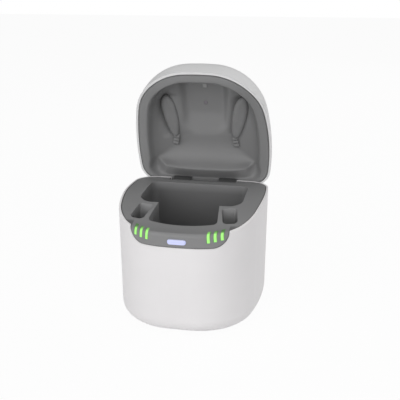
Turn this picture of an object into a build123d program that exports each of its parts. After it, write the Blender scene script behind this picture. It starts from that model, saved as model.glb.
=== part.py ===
from build123d import *
import os
from math import cos, radians, sin, sqrt, tan

# Hearing aid dryer: a deep pot with a drying chamber and two aid slots under a hinged dome lid.
# +X is the user's right, -Y the front and +Z up. The origin is on the resting plane, under the
# widest line of the pot. Lengths are in millimetres and angles in degrees.

# ---- Outline of the pot, seen from above ----
half_width = 41.3
front_reach = 52.6
rear_reach = 25.4
front_bow = 137.0
side_bow = 130.0
rear_bow = 395.0
front_corner = 33.0
rear_corner = 12.0
least_corner = 3.0

# ---- Rim: level at the rear, falling in an arc, then turning level again at the front ----
rim_height = 67.4
rim_slope = 17.8
fall_run = 38.0
turn_run = 12.0
fall_arc = fall_run / sin(radians(rim_slope))
turn_arc = turn_run / sin(radians(rim_slope))
rim_dip = (fall_arc + turn_arc) * (1 - cos(radians(rim_slope)))
rim_lip = 1.2
beyond = 12.0

# ---- Housing ----
base_gap = 0.8
wall_taper = 0.62
base_round = 8.4
housing_wall = 2.2
cover_depth = 3.0
cover_inset = 9.7
ledge_inset = 19.0
ledge_thickness = 2.0
rim_round = 0.5
floor_top = base_gap + cover_depth + ledge_thickness

# ---- Clearances ----
seat_gap = 0.1
part_gap = 0.15
swing_gap = 0.4
running_gap = 0.05

# ---- Base screws and foot ----
rear_post = (half_width - 16.8, rear_reach - 15.9)
front_post = (half_width - 21.3, 21.6 - front_reach)
post_radius = 3.2
post_height = 7.5
base_screw_radius = 1.25
base_head_radius = 2.4
base_head_height = 1.3
base_screw_length = 9.0
foot_inset = 12.5
foot_thickness = 1.6

# ---- Tray ----
flange = 2.0
tray_sink = 0.2
tray_wall = 1.6
skirt_wall = 1.4
skirt_depth = 5.0
fascia_half = half_width - 14.7
fascia_drop = 15.9
fascia_round = 8.0
fascia_wall = 2.4
fascia_edge = 2.0
hook_length = 8.0
hook_height = 1.6
hook_reach = 0.7
hook_front = -9.0
hook_rear = 6.0

# ---- Drying chamber: a wide rear part and a stem between the slots ----
chamber_half = half_width - 12.0
chamber_rear = rear_reach - 12.6
chamber_front = 14.0 - front_reach
chamber_step = chamber_front + 17.8
chamber_bow = 3.3
stem_rear_half = half_width - 24.1
stem_front_half = stem_rear_half + 1.8
chamber_floor = 35.4
chamber_draft = 1.0
chamber_rear_round = 4.5
chamber_step_round = 8.0
stem_round = 3.0
floor_thickness = 2.6
grille_thickness = 1.0

# ---- Aid slots, toed out to the front ----
slot_x = half_width - 16.9
slot_y = chamber_step - 9.5
slot_toe = 10.5
slot_width = 8.8
slot_length = 15.4
slot_rear_round = 1.5
slot_front_round = 2.5
slot_foot_width = 5.6
slot_foot_length = 9.0
slot_foot_shift = 1.8
slot_depth = 20.0
coil_grow = 1.3
coil_thickness = 1.4

# ---- Hinge ----
hinge_y = 23.2
hinge_drop = 4.8
hinge_z = rim_height - hinge_drop
knuckle_radius = 3.6
hinge_half = 20.0
centre_knuckle_half = 7.8
washer_thickness = 0.5
pin_radius = 1.1
pin_chamfer = 0.25
knuckle_gap = 0.25
washer_gap = 0.05
washer_radius = 3.2
neck_front = 2.4
neck_rear = 2.1
neck_rise = 2.5
open_angle = 75.0

# ---- Lid ----
lid_gap = 0.5
dome_height = 23.0
dome_power = 2.7
dome_centre = -10.0
lid_inset = 0.2
lid_wall = 2.0
liner_sink = 0.3
liner_wall = 1.6
band_inset = 6.6
recess_height = 11.5
recess_power = 3.2
channel_half = 12.8
channel_front = 15.6 - front_reach
channel_rear = channel_front + 19.4
channel_ramp = 13.4
channel_bow = 14.6
channel_top = 14.8
channel_round = 3.0
ledge_start = -1.0
ledge_edge = 16.8
ledge_low = 4.6
ledge_lip = 0.8
ledge_bow = 115.0

# ---- Pads over the aids ----
pad_front = (slot_x - 1.4, slot_y)
pad_rear = (pad_front[0] - 5.3, pad_front[1] + 27.0)
pad_width = 8.0
pad_widest = 0.4
pad_tail = 0.7
pad_low = 7.6
pad_top = 12.0
pad_gap = 0.5
pad_stem_width = 3.6
pad_stem_length = 7.2
pad_stem_low = 9.2
pad_step_height = 0.5
pad_step_length = 1.4
pad_step_pitch = 2.2
pad_round = 1.2
peg_radius = 1.2
peg_length = 1.6
pad_stem_height = 1.6
pad_turn = -10.0

# ---- Button and its switch ----
button_width = 9.9
button_height = 3.1
button_drop = 12.6
button_proud = 0.4
button_flange = 1.1
button_flange_rim = 0.8
button_travel = 0.5
button_gap = 0.1
stem_radius = 1.0
stem_length = 1.4

# ---- Light guides ----
guide_pitch = 3.4
guide_places = [fascia_half - count * guide_pitch for count in (3, 2, 1)]
guide_width = 1.7
guide_depth = 4.2
guide_bottoms = (12.7, 12.3, 11.7)
guide_leg = 1.5

# ---- Front board ----
front_board_drop = 16.4
front_board_top = rim_height - front_board_drop
front_board_thickness = 1.0
front_board_inset = 2.9
front_board_depth = 4.6
front_board_half = fascia_half - 2.2
front_board_rear = 13.2 - front_reach
front_post_x = 9.2
front_post_y = 6.0 - front_reach
front_post_radius = 1.8
front_screw_radius = 0.8
front_screw_reach = 2.5
screw_end_gap = 0.5
led_height = 0.9
switch_width = 6.2
switch_depth = 3.8
switch_height = 5.6
sensor_size = 3.0
sensor_height = 1.2
sensor_x = 5.4
guide_gap = 0.2

# ---- Main board ----
board_half = 16.0
board_front = -28.0
board_rear = 20.0
board_level = 9.0
board_thickness = 1.6
standoff_x = 12.5
standoff_front = -23.5
standoff_rear = 2.0
standoff_radius = 2.6
board_screw_radius = 1.0
board_head_radius = 1.9
board_head_height = 1.2
socket_width = 9.0
socket_height = 3.2
socket_depth = 7.4
socket_wall = 0.35
tongue_width = 6.6
tongue_height = 0.7
socket_mouth = 24.1
inlet_width = 10.4
inlet_height = 4.4
end_flat = 0.1
chip_side = 7.0
chip_height = 1.0
chip_edge = 0.2
chip_place = (0.0, -8.0)
choke_half = 3.0
choke_bore = 1.05
choke_round = 1.2
choke_height = 3.0
choke_place = (-8.0, 9.0)
board_round = 1.5

# ---- Fan and heater under the chamber ----
fan_y = (chamber_rear + chamber_front) / 2
fan_side = 40.0
fan_height = 10.0
fan_screw_radius = 1.4
fan_head_radius = 2.6
fan_head_height = 1.4
fan_wall = 1.4
fan_bore = fan_side / 2 - fan_wall
fan_hole_pitch = 0.8 * fan_side
hub_radius = 8.0
blade_count = 7
hub_height = 7.6
blade_reach = fan_bore - 2 * swing_gap
blade_root = 7.0
blade_chord = 10.6
blade_pitch = 38.0
blade_thickness = 1.2
shaft_radius = 1.0
strut_width = 2.2
heater_height = 5.0
heater_opening = 0.75 * fan_side
fin_count = 9
fin_pitch = heater_opening / (fin_count + 1)
fin_thickness = 0.7
fin_height = 4.4
core_width = 4.0
core_height = 2.0
core_pitch = heater_opening / 2

# ---- Grille slots and rear vents ----
grille_slot_length = 10.0
grille_slot_width = 2.0
grille_pitch_x = 13.0
grille_pitch_y = 3.8
grille_columns = 2
grille_rows = 8
vent_count = 7
vent_pitch = 4.2
vent_width = 2.0
vent_length = 12.0
vent_drop = 34.0
vent_level = rim_height - vent_drop

# ---- Lamp in the lid ----
lamp_y = channel_rear - 6.4
window_radius = 1.3
window_thickness = 1.1
window_proud = 0.3
lamp_side = 3.4
lamp_height = 1.1
lamp_boss = 3.8
lamp_bore = 2.6
lamp_hole = 0.9
lamp_board_side = 12.0
lamp_board_thickness = 1.0
tab_side = 2.6
tab_proud = 0.8
tab_thickness = 2.0
tab_step = 0.3

os.makedirs("parts", exist_ok=True)


# ---- Shared shapes ----
def plan(inset=0.0, share=1.0):
    """The pot's outline, kept parallel at inset, then scaled about its origin by share."""
    with BuildSketch() as outline:
        with Locations((0, front_bow - front_reach)):
            Circle(front_bow - inset)
        for side in (-1, 1):
            with Locations((side * (half_width - side_bow), 0)):
                Circle(side_bow - inset, mode=Mode.INTERSECT)
        with Locations((0, rear_reach - rear_bow)):
            Circle(rear_bow - inset, mode=Mode.INTERSECT)
        fillet(outline.vertices().group_by(Axis.Y)[0], front_corner - inset)
        fillet(outline.vertices().group_by(Axis.Y)[-1], max(rear_corner - inset, least_corner))
        if share < 1:
            scale(by=share)
    return outline.sketch


def above_rim(level):
    """Everything above the rim surface once that is raised by level."""
    slope = radians(rim_slope)
    fall_centre = (0, rim_height - fall_arc)
    turn_centre = (
        -(fall_arc + turn_arc) * sin(slope),
        rim_height - fall_arc + (fall_arc + turn_arc) * cos(slope),
    )
    roof = rim_height + dome_height + 2 * beyond
    with BuildPart() as region:
        with BuildSketch(Plane.YZ):
            with BuildLine():
                fall = CenterArc(fall_centre, fall_arc + level, 90, rim_slope)
                turn = CenterArc(turn_centre, turn_arc - level, 270 + rim_slope, -rim_slope)
                Polyline(
                    turn @ 1,
                    (-front_reach - beyond, (turn @ 1).Y),
                    (-front_reach - beyond, roof),
                    (rear_reach + beyond, roof),
                    (rear_reach + beyond, rim_height + level),
                    fall @ 0,
                )
            make_face()
        extrude(amount=half_width + beyond, both=True)
    return region.part


def rim_slab(inset, bottom, top):
    """The outline at inset, between the rim surface moved up by bottom and by top."""
    with BuildPart() as slab:
        with BuildSketch(Plane.XY.offset(rim_height - 2 * beyond)):
            add(plan(inset))
        extrude(amount=3 * beyond)
        add(above_rim(top), mode=Mode.SUBTRACT)
        add(above_rim(bottom), mode=Mode.INTERSECT)
    return slab.part


def round_rim(piece, radius):
    """Rounds the outer edge of the rim surface on the piece being built."""
    rim_faces = piece.faces().filter_by(lambda face: face.normal_at().Z > 0.5)
    fillet(rim_faces.edges().filter_by(Axis.X, reverse=True), radius)


def column(sketch, bottom, top):
    """A sketch pulled up into a straight solid between two heights."""
    with BuildPart() as solid:
        with BuildSketch(Plane.XY.offset(bottom)):
            add(sketch)
        extrude(amount=top - bottom)
    return solid.part


def dome(inset, height, power):
    """A dome on the outline at inset, with an upright skirt that reaches below the rim."""
    levels = (0, 0.25, 0.5, 0.7, 0.84, 0.93, 0.98)
    with BuildPart() as body:
        with BuildSketch(Plane.XY.offset(rim_height - beyond)):
            add(plan(inset))
        extrude(amount=beyond)
        for level in levels:
            share = (1 - level**power) ** (1 / power)
            origin = (0, dome_centre * (1 - share), rim_height + level * height)
            with BuildSketch(Plane(origin)):
                add(plan(inset, share))
        loft()
    return body.part


def fascia_window(gap):
    """The rounded notch in the front of the pot, narrowed by gap."""
    tall = 2 * fascia_drop
    with BuildPart() as window:
        with BuildSketch(Plane.XZ.offset(front_reach - beyond)):
            with Locations((0, rim_height - fascia_drop + tall / 2)):
                RectangleRounded(2 * (fascia_half - gap), tall - 2 * gap, fascia_round - gap)
        extrude(amount=2 * beyond)
    return window.part


def chamber_outline(grow):
    """The T-shaped mouth of the drying chamber, grown by grow."""
    with BuildSketch() as mouth:
        with BuildLine():
            Polyline(
                (-stem_front_half, chamber_front),
                (-stem_rear_half, chamber_step),
                (-chamber_half, chamber_step),
                (-chamber_half, chamber_rear),
                (chamber_half, chamber_rear),
                (chamber_half, chamber_step),
                (stem_rear_half, chamber_step),
                (stem_front_half, chamber_front),
            )
            ThreePointArc(
                (stem_front_half, chamber_front),
                (0, chamber_front - chamber_bow),
                (-stem_front_half, chamber_front),
            )
        make_face()
        corners = mouth.vertices().group_by(Axis.Y)
        fillet(corners[-1], chamber_rear_round)
        outer = mouth.vertices().filter_by_position(Axis.Y, chamber_step - 1, chamber_step + 1)
        fillet(outer.group_by(Axis.X)[0] + outer.group_by(Axis.X)[-1], chamber_step_round)
        fillet(mouth.vertices().group_by(Axis.Y)[0], stem_round)
        if grow:
            offset(amount=grow, kind=Kind.ARC)
    return mouth.sketch


def slot_outline(side, grow, depth):
    """One aid slot's outline at a depth below its mouth, grown by grow, in its own plane."""
    way = depth / slot_depth
    width = slot_width + (slot_foot_width - slot_width) * way
    length = slot_length + (slot_foot_length - slot_length) * way
    shift = -slot_foot_shift * way
    with BuildSketch() as straight:
        Rectangle(width + 2 * grow, length + 2 * grow)
        corners = straight.vertices().group_by(Axis.Y)
        fillet(corners[0], slot_front_round + grow)
        fillet(straight.vertices().group_by(Axis.Y)[-1], slot_rear_round + grow)
    with BuildSketch() as outline:
        with Locations(Location((side * slot_x, slot_y), side * slot_toe)):
            with Locations((0, shift)):
                add(straight.sketch)
    return outline.sketch


def slot_solid(side, grow, top, bottom):
    """One slot's tapering space between two heights, grown by grow."""
    mouth = rim_height - tray_sink
    with BuildPart() as space:
        for height in (bottom, top):
            with BuildSketch(Plane.XY.offset(height)):
                add(slot_outline(side, grow, mouth - height))
        loft()
    return space.part


def button_profile(grow):
    """The pill outline of the button, grown by grow."""
    with BuildSketch() as pill:
        SlotOverall(button_width + 2 * grow, button_height + 2 * grow)
    return pill.sketch


def pad_outline(side, grow):
    """The leaf outline of one pad, round in front and narrow behind, grown by grow."""
    front = Vector(side * pad_front[0], pad_front[1])
    rear = Vector(side * pad_rear[0], pad_rear[1])
    along = (rear - front).normalized()
    across = Vector(-along.Y, along.X)
    widest = front + (rear - front) * pad_widest
    tip = front - along * grow
    tail = rear + along * grow
    with BuildSketch() as leaf:
        with BuildLine():
            for way in (-1, 1):
                out = across * way
                edge = widest + out * (pad_width / 2 + grow)
                Spline(tip, edge, tail, tangents=(out, along - out * pad_tail))
        make_face()
    return leaf.sketch


def both_sides(*places):
    """Each place and its mirror image across the middle."""
    return [(side * x, y) for x, y in places for side in (-1, 1)]


def pot_solid(inset, bottom, rounding):
    """The pot's tapering body inside inset, from bottom to the rim's height, rounded below."""
    with BuildPart() as pot:
        with BuildSketch(Plane.XY.offset(bottom)):
            add(plan(inset + (rim_height - bottom) * tan(radians(wall_taper))))
        extrude(amount=rim_height - bottom, taper=-wall_taper)
        fillet(pot.faces().sort_by(Axis.Z)[0].edges(), rounding)
    return pot.part


def snap_hook(x, y, grow):
    """A snap hook on the tray's skirt or, grown, the pocket that it catches in."""
    low = rim_height - tray_sink - flange - skirt_depth
    with BuildSketch() as foot:
        with Locations((x, y)):
            Rectangle(2 * (hook_reach + grow), hook_length + 2 * grow)
    return column(foot.sketch, low - grow, low + hook_height + grow)


def chamber_well(grow, bottom):
    """The chamber's space with its draft, grown by grow, from the rim down to bottom."""
    with BuildPart() as well:
        with BuildSketch(Plane.XY.offset(rim_height)):
            add(chamber_outline(grow))
        extrude(amount=bottom - rim_height, taper=chamber_draft)
    return well.part


def box_between(x, y, z):
    """A block between two limits on each axis."""
    with BuildSketch() as foot:
        with Locations(((x[0] + x[1]) / 2, (y[0] + y[1]) / 2)):
            Rectangle(x[1] - x[0], y[1] - y[0])
    return column(foot.sketch, z[0], z[1])


def round_bars(places, radius, bottom, top):
    """Upright round bars of one radius at several places."""
    with BuildSketch() as feet:
        with Locations(*places):
            Circle(radius)
    return column(feet.sketch, bottom, top)


def side_profile(points, half):
    """A profile seen from the side, pulled out to both sides by half."""
    with BuildPart() as solid:
        with BuildSketch(Plane.YZ):
            with BuildLine():
                Polyline(*points, close=True)
            make_face()
        extrude(amount=half, both=True)
    return solid.part


def along_hinge(half, radius, offset=0.0):
    """A round bar on the hinge axis, centred offset to the right."""
    with BuildPart() as bar:
        with BuildSketch(Plane.YZ.offset(offset - half)):
            with Locations((hinge_y, hinge_z)):
                Circle(radius)
        extrude(amount=2 * half)
    return bar.part


def finish(piece, name):
    """Labels a finished piece and writes it."""
    piece.part.label = name
    export_step(piece.part, f"parts/{name}.step")


def finish_lid(piece, name):
    """Swings a piece of the closed lid open about the hinge, then labels and writes it."""
    hinge_line = Axis((0, hinge_y, hinge_z), (1, 0, 0))
    piece.part = piece.part.rotate(hinge_line, -open_angle)
    finish(piece, name)


def fascia_block():
    """The solid front of the tray: flush with the pot, with a rounded upper edge."""
    with BuildPart() as block:
        add(rim_slab(part_gap, -fascia_drop, -tray_sink))
        round_rim(block, fascia_edge)
        add(fascia_window(part_gap), mode=Mode.INTERSECT)
    return block.part


def guide_band(side, place, grow):
    """The upright slab, seen from above, in which one light guide lies."""
    with BuildSketch() as band:
        with Locations((side * place, -front_reach)):
            Rectangle(guide_width + 2 * grow, 2 * front_reach)
    return band.sketch


def guide_head(side, place, drop, grow):
    """A guide's visible head, which wraps over the fascia's edge."""
    low = rim_height - drop - grow
    with BuildPart() as head:
        add(fascia_block())
        add(column(guide_band(side, place, grow), low, rim_height), mode=Mode.INTERSECT)
        add(column(plan(guide_depth + grow), low - 1, rim_height + 1), mode=Mode.SUBTRACT)
    return head.part


def behind_fascia(side, place, near, deep, bottom, top):
    """A block as wide as a light guide, between two insets from the outline."""
    with BuildPart() as block:
        add(column(guide_band(side, place, 0), bottom, top))
        add(column(plan(near), bottom, top), mode=Mode.INTERSECT)
        add(column(plan(deep), bottom, top), mode=Mode.SUBTRACT)
    return block.part


# ---- Housing: the deep pot, with its front notch, hinge notch, vents and inlet ----
notch_half = hinge_half + swing_gap
notch_bottom = hinge_z - knuckle_radius - swing_gap
notch_front = hinge_y - knuckle_radius - swing_gap
inlet_level = board_level + 2 * seat_gap + board_thickness + socket_height / 2
hook_places = both_sides(
    (half_width - housing_wall, hook_front),
    (half_width - housing_wall, hook_rear),
)

with BuildPart() as outer_housing:
    add(pot_solid(0, base_gap, base_round))
    add(above_rim(0), mode=Mode.SUBTRACT)
    round_rim(outer_housing, rim_round)
    add(pot_solid(housing_wall, floor_top, base_round - housing_wall), mode=Mode.SUBTRACT)
    add(rim_slab(rim_lip, -tray_sink - flange - seat_gap, beyond), mode=Mode.SUBTRACT)
    add(fascia_window(0), mode=Mode.SUBTRACT)
    with BuildSketch(Plane.XY.offset(notch_bottom)):
        with Locations((0, notch_front + beyond / 2)):
            Rectangle(2 * notch_half, beyond)
    extrude(amount=beyond, mode=Mode.SUBTRACT)
    with BuildSketch(Plane.XY.offset(base_gap)):
        add(plan(cover_inset))
    extrude(amount=cover_depth, mode=Mode.SUBTRACT)
    with BuildSketch(Plane.XY.offset(base_gap)):
        add(plan(ledge_inset))
    extrude(amount=floor_top, mode=Mode.SUBTRACT)
    with BuildSketch(Plane.XY.offset(floor_top)):
        with Locations(*both_sides(rear_post, front_post)):
            Circle(post_radius)
    extrude(amount=post_height)
    with BuildSketch(Plane.XY.offset(base_gap + cover_depth)):
        with Locations(*both_sides(rear_post, front_post)):
            Circle(base_screw_radius + running_gap)
    extrude(amount=ledge_thickness + post_height - 1, mode=Mode.SUBTRACT)
    with BuildSketch(Plane.XZ.offset(-rear_reach - 1)):
        with Locations((0, inlet_level)):
            RectangleRounded(inlet_width, inlet_height, inlet_height / 2 - end_flat)
        with Locations((0, vent_level)):
            with GridLocations(vent_pitch, 1, vent_count, 1):
                SlotOverall(vent_length, vent_width, rotation=90)
    extrude(amount=beyond / 2, mode=Mode.SUBTRACT)
    for x, y in hook_places:
        add(snap_hook(x, y, part_gap), mode=Mode.SUBTRACT)
finish(outer_housing, "outer_housing")

# ---- Base cover, foot pad and screws ----
cover_top = base_gap + cover_depth
head_seat = foot_thickness + base_head_height + seat_gap
standoffs = both_sides((standoff_x, standoff_front), (standoff_x, standoff_rear))
base_places = both_sides(rear_post, front_post)

with BuildPart() as base_cover:
    add(column(plan(cover_inset + seat_gap), base_gap, cover_top))
    add(round_bars(standoffs, standoff_radius, cover_top, board_level))
    add(column(plan(foot_inset - seat_gap), base_gap, foot_thickness), mode=Mode.SUBTRACT)
    add(round_bars(base_places, base_head_radius + seat_gap, 0, head_seat), mode=Mode.SUBTRACT)
    add(round_bars(base_places, base_screw_radius + part_gap, 0, cover_top), mode=Mode.SUBTRACT)
    drill = board_screw_radius + running_gap
    add(round_bars(standoffs, drill, cover_top, board_level), mode=Mode.SUBTRACT)
finish(base_cover, "base_cover")

with BuildPart() as foot_pad:
    add(column(plan(foot_inset), 0, foot_thickness))
    fillet(foot_pad.faces().sort_by(Axis.Z)[0].edges(), base_gap / 2)
finish(foot_pad, "foot_pad")

with BuildPart() as base_screws:
    add(round_bars(base_places, base_head_radius, foot_thickness + seat_gap, head_seat))
    add(round_bars(base_places, base_screw_radius, head_seat, head_seat + base_screw_length))
finish(base_screws, "base_screws")

# ---- Tray: flange, fascia, chamber well, slot wells, skirt and centre knuckle ----
tray_bottom = chamber_floor - floor_thickness
flange_low = -tray_sink - flange
far = 3 * front_reach
button_level = rim_height - button_drop
web_low = hinge_z - knuckle_radius
front_posts = both_sides((front_post_x, front_post_y))
fan_places = both_sides(
    (fan_hole_pitch / 2, fan_y - fan_hole_pitch / 2),
    (fan_hole_pitch / 2, fan_y + fan_hole_pitch / 2),
)
guides = [
    (side, place, drop)
    for side in (-1, 1)
    for place, drop in zip(guide_places, guide_bottoms)
]

with BuildPart() as skirt:
    add(rim_slab(housing_wall + 2 * part_gap, flange_low - skirt_depth, flange_low))
    inner = plan(housing_wall + 2 * part_gap + skirt_wall)
    add(column(inner, rim_height - 3 * beyond, rim_height), mode=Mode.SUBTRACT)
    span = (-fascia_half - part_gap, fascia_half + part_gap)
    add(box_between(span, (-far, 0), (0, rim_height)), mode=Mode.SUBTRACT)
    for x, y in hook_places:
        add(snap_hook(x, y, 0))

with BuildPart() as fascia_front:
    add(fascia_block())
    inner = plan(part_gap + fascia_wall)
    add(column(inner, rim_height - 2 * fascia_drop, rim_height), mode=Mode.SUBTRACT)

with BuildPart() as flange_edge:
    add(fascia_window(part_gap))
    inner = plan(part_gap + fascia_edge)
    add(column(inner, rim_height - 2 * fascia_drop, rim_height + beyond), mode=Mode.SUBTRACT)

with BuildPart() as inner_tray:
    add(chamber_well(tray_wall, tray_bottom))
    for side in (-1, 1):
        add(slot_solid(side, tray_wall, rim_height, rim_height - slot_depth - tray_wall))
    add(above_rim(-tray_sink), mode=Mode.SUBTRACT)
    add(rim_slab(rim_lip + seat_gap, flange_low, -tray_sink))
    add(flange_edge.part, mode=Mode.SUBTRACT)
    add(skirt.part)
    add(fascia_front.part)
    hinge_room = box_between((-notch_half, notch_half), (notch_front, far), (0, rim_height))
    add(hinge_room, mode=Mode.SUBTRACT)
    web_half = centre_knuckle_half
    web_top = hinge_z + knuckle_radius
    add(box_between((-web_half, web_half), (notch_front - flange, hinge_y), (web_low, web_top)))
    add(along_hinge(web_half, knuckle_radius))
    add(round_bars(front_posts, front_post_radius, front_board_top, rim_height - rim_dip - flange))
    add(chamber_well(0, chamber_floor), mode=Mode.SUBTRACT)
    for side in (-1, 1):
        space = slot_solid(side, 0, rim_height + 1, rim_height - tray_sink - slot_depth)
        add(space, mode=Mode.SUBTRACT)
    with BuildSketch(Plane.XY.offset(tray_bottom)):
        with Locations((0, fan_y)):
            RectangleRounded(heater_opening, heater_opening, stem_round)
    extrude(amount=floor_thickness, mode=Mode.SUBTRACT)
    drill = fan_screw_radius + running_gap
    hole_end = chamber_floor - screw_end_gap
    add(round_bars(fan_places, drill, tray_bottom, hole_end), mode=Mode.SUBTRACT)
    drill = front_screw_radius + running_gap
    hole_end = front_board_top + front_screw_reach + screw_end_gap
    add(round_bars(front_posts, drill, front_board_top, hole_end), mode=Mode.SUBTRACT)
    add(along_hinge(hinge_half, pin_radius + running_gap), mode=Mode.SUBTRACT)
    for side, place, drop in guides:
        add(guide_head(side, place, drop, running_gap), mode=Mode.SUBTRACT)
    with BuildSketch(Plane.XZ.offset(front_reach - beyond / 2)):
        with Locations((0, button_level)):
            add(button_profile(button_gap))
    extrude(amount=beyond, mode=Mode.SUBTRACT)
finish(inner_tray, "inner_tray")

# ---- Button and the front board behind the fascia ----
flange_face = -(front_reach - part_gap - fascia_wall) + 2 * part_gap
stem_face = flange_face + button_flange
stem_end = stem_face + stem_length
switch_face = stem_face + button_travel + button_gap
led_level = front_board_top + led_height

with BuildPart() as power_button:
    with BuildSketch(Plane.XZ.offset(-stem_face)):
        with Locations((0, button_level)):
            add(button_profile(button_flange_rim))
    extrude(amount=button_flange)
    with BuildSketch(Plane.XZ.offset(-flange_face)):
        with Locations((0, button_level)):
            add(button_profile(0))
    extrude(amount=front_reach - part_gap + button_proud + flange_face)
    fillet(power_button.faces().sort_by(Axis.Y)[0].edges(), button_proud * 0.9)
    with BuildSketch(Plane.XZ.offset(-stem_end)):
        with Locations((0, button_level)):
            Circle(stem_radius)
    extrude(amount=stem_length)
finish(power_button, "power_button")

with BuildPart() as button_switch:
    span = (-switch_width / 2, switch_width / 2)
    reach = (switch_face, switch_face + switch_depth)
    add(box_between(span, reach, (front_board_top, front_board_top + switch_height)))
    with BuildSketch(Plane.XZ.offset(-stem_end - button_travel - button_gap)):
        with Locations((0, button_level)):
            Circle(stem_radius + button_gap)
    extrude(amount=switch_depth, mode=Mode.SUBTRACT)
finish(button_switch, "button_switch")

with BuildPart() as front_board:
    low = front_board_top - front_board_thickness
    add(column(plan(front_board_inset), low, front_board_top))
    inner = plan(front_board_inset + front_board_depth)
    add(column(inner, low, front_board_top), mode=Mode.SUBTRACT)
    span = (-front_board_half, front_board_half)
    keep = box_between(span, (-far, front_board_rear), (low, front_board_top))
    add(keep, mode=Mode.INTERSECT)
    drill = front_screw_radius + part_gap
    add(round_bars(front_posts, drill, low, front_board_top), mode=Mode.SUBTRACT)
finish(front_board, "front_board")

with BuildPart() as front_board_screws:
    low = front_board_top - front_board_thickness
    add(round_bars(front_posts, front_post_radius, low - front_board_thickness, low))
    add(round_bars(front_posts, front_screw_radius, low, front_board_top + front_screw_reach))
finish(front_board_screws, "front_board_screws")

with BuildPart() as status_leds:
    for side, place, drop in guides:
        near = fascia_wall + 2 * part_gap
        add(behind_fascia(side, place, near, guide_depth, front_board_top, led_level))
finish(status_leds, "status_leds")

for side, name in ((-1, "left"), (1, "right")):
    for place, drop, number in zip(guide_places, guide_bottoms, (3, 2, 1)):
        with BuildPart() as light_guide:
            add(guide_head(side, place, drop, 0))
            near = fascia_wall + 2 * part_gap
            knee = rim_height - drop + guide_leg
            add(behind_fascia(side, place, near, guide_depth, led_level + guide_gap, knee))
        finish(light_guide, f"light_guide_{name}_{number}")

with BuildPart() as lid_sensor:
    with BuildSketch(Plane.XY.offset(front_board_top)):
        with Locations((sensor_x, front_post_y)):
            Rectangle(sensor_size, sensor_size)
    extrude(amount=sensor_height)
finish(lid_sensor, "lid_sensor")

for side, name in ((-1, "left"), (1, "right")):
    top = rim_height - slot_depth - tray_wall - seat_gap
    with BuildPart() as charging_coil:
        add(column(slot_outline(side, coil_grow, slot_depth), top - coil_thickness, top))
        hole = column(slot_outline(side, -coil_grow, slot_depth), top - coil_thickness, top)
        add(hole, mode=Mode.SUBTRACT)
    finish(charging_coil, f"charging_coil_{name}")

# ---- Grille, heater and fan under the chamber ----
heater_low = tray_bottom - heater_height
fan_low = heater_low - fan_height
fan_centre = [(0, fan_y)]
rotor_low = fan_low + fan_wall + swing_gap

with BuildPart() as chamber_grille:
    drawn = (rim_height - chamber_floor) * tan(radians(chamber_draft))
    with BuildSketch(Plane.XY.offset(chamber_floor + seat_gap / 2)):
        add(chamber_outline(-2 * part_gap - drawn))
        with Locations((0, fan_y)):
            with GridLocations(grille_pitch_x, grille_pitch_y, grille_columns, grille_rows):
                SlotOverall(grille_slot_length, grille_slot_width, mode=Mode.SUBTRACT)
    extrude(amount=grille_thickness)
finish(chamber_grille, "chamber_grille")

with BuildPart() as heater_frame:
    with BuildSketch(Plane.XY.offset(heater_low)):
        with Locations((0, fan_y)):
            RectangleRounded(fan_side, fan_side, stem_round)
            RectangleRounded(heater_opening, heater_opening, stem_round, mode=Mode.SUBTRACT)
        with Locations(*fan_places):
            Circle(fan_screw_radius + running_gap, mode=Mode.SUBTRACT)
    extrude(amount=heater_height - seat_gap)
finish(heater_frame, "heater_frame")

with BuildPart() as heater_fins:
    low = heater_low + (heater_height - fin_height) / 2
    fin_length = heater_opening - 2 * part_gap
    with BuildSketch(Plane.XY.offset(low)):
        with Locations((0, fan_y)):
            with GridLocations(fin_pitch, 1, fin_count, 1):
                Rectangle(fin_thickness, fin_length)
    extrude(amount=fin_height)
    with BuildSketch(Plane.XY.offset(low + (fin_height - core_height) / 2)):
        with Locations((0, fan_y)):
            with GridLocations(1, core_pitch, 1, 2):
                Rectangle(fin_length, core_width)
    extrude(amount=core_height)
finish(heater_fins, "heater_fins")

with BuildPart() as fan_frame:
    with BuildSketch(Plane.XY.offset(fan_low)):
        with Locations((0, fan_y)):
            RectangleRounded(fan_side, fan_side, stem_round)
        with Locations(*fan_places):
            Circle(fan_screw_radius + running_gap, mode=Mode.SUBTRACT)
    extrude(amount=fan_height - seat_gap)
    add(round_bars(fan_centre, fan_bore, fan_low, heater_low), mode=Mode.SUBTRACT)
    with BuildSketch(Plane.XY.offset(fan_low)):
        with Locations((0, fan_y)):
            Rectangle(2 * fan_bore + fan_wall / 2, strut_width)
            Rectangle(strut_width, 2 * fan_bore + fan_wall / 2)
            Circle(hub_radius)
            Circle(shaft_radius + running_gap, mode=Mode.SUBTRACT)
    extrude(amount=fan_wall)
finish(fan_frame, "fan_frame")

with BuildPart() as fan_rotor:
    middle = rotor_low + hub_height / 2
    for turn in range(blade_count):
        way = radians(360 * turn / blade_count)
        outward = Vector(cos(way), sin(way), 0)
        root = Plane((0, fan_y, middle), x_dir=(-sin(way), cos(way), 0), z_dir=outward)
        with BuildSketch(root.offset(blade_root)):
            Rectangle(blade_chord, blade_thickness, rotation=blade_pitch)
        extrude(amount=blade_reach - blade_root)
    add(round_bars(fan_centre, blade_reach, rotor_low, heater_low), mode=Mode.INTERSECT)
    add(round_bars(fan_centre, hub_radius, rotor_low, rotor_low + hub_height))
    add(round_bars(fan_centre, shaft_radius, fan_low + running_gap, rotor_low))
finish(fan_rotor, "fan_rotor")

with BuildPart() as fan_screws:
    head_top = fan_low - seat_gap
    add(round_bars(fan_places, fan_head_radius, head_top - fan_head_height, head_top))
    add(round_bars(fan_places, fan_screw_radius, head_top, chamber_floor - 2 * screw_end_gap))
finish(fan_screws, "fan_screws")

# ---- Main board and what stands on it ----
board_low = board_level + seat_gap
board_top = board_low + board_thickness

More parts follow.
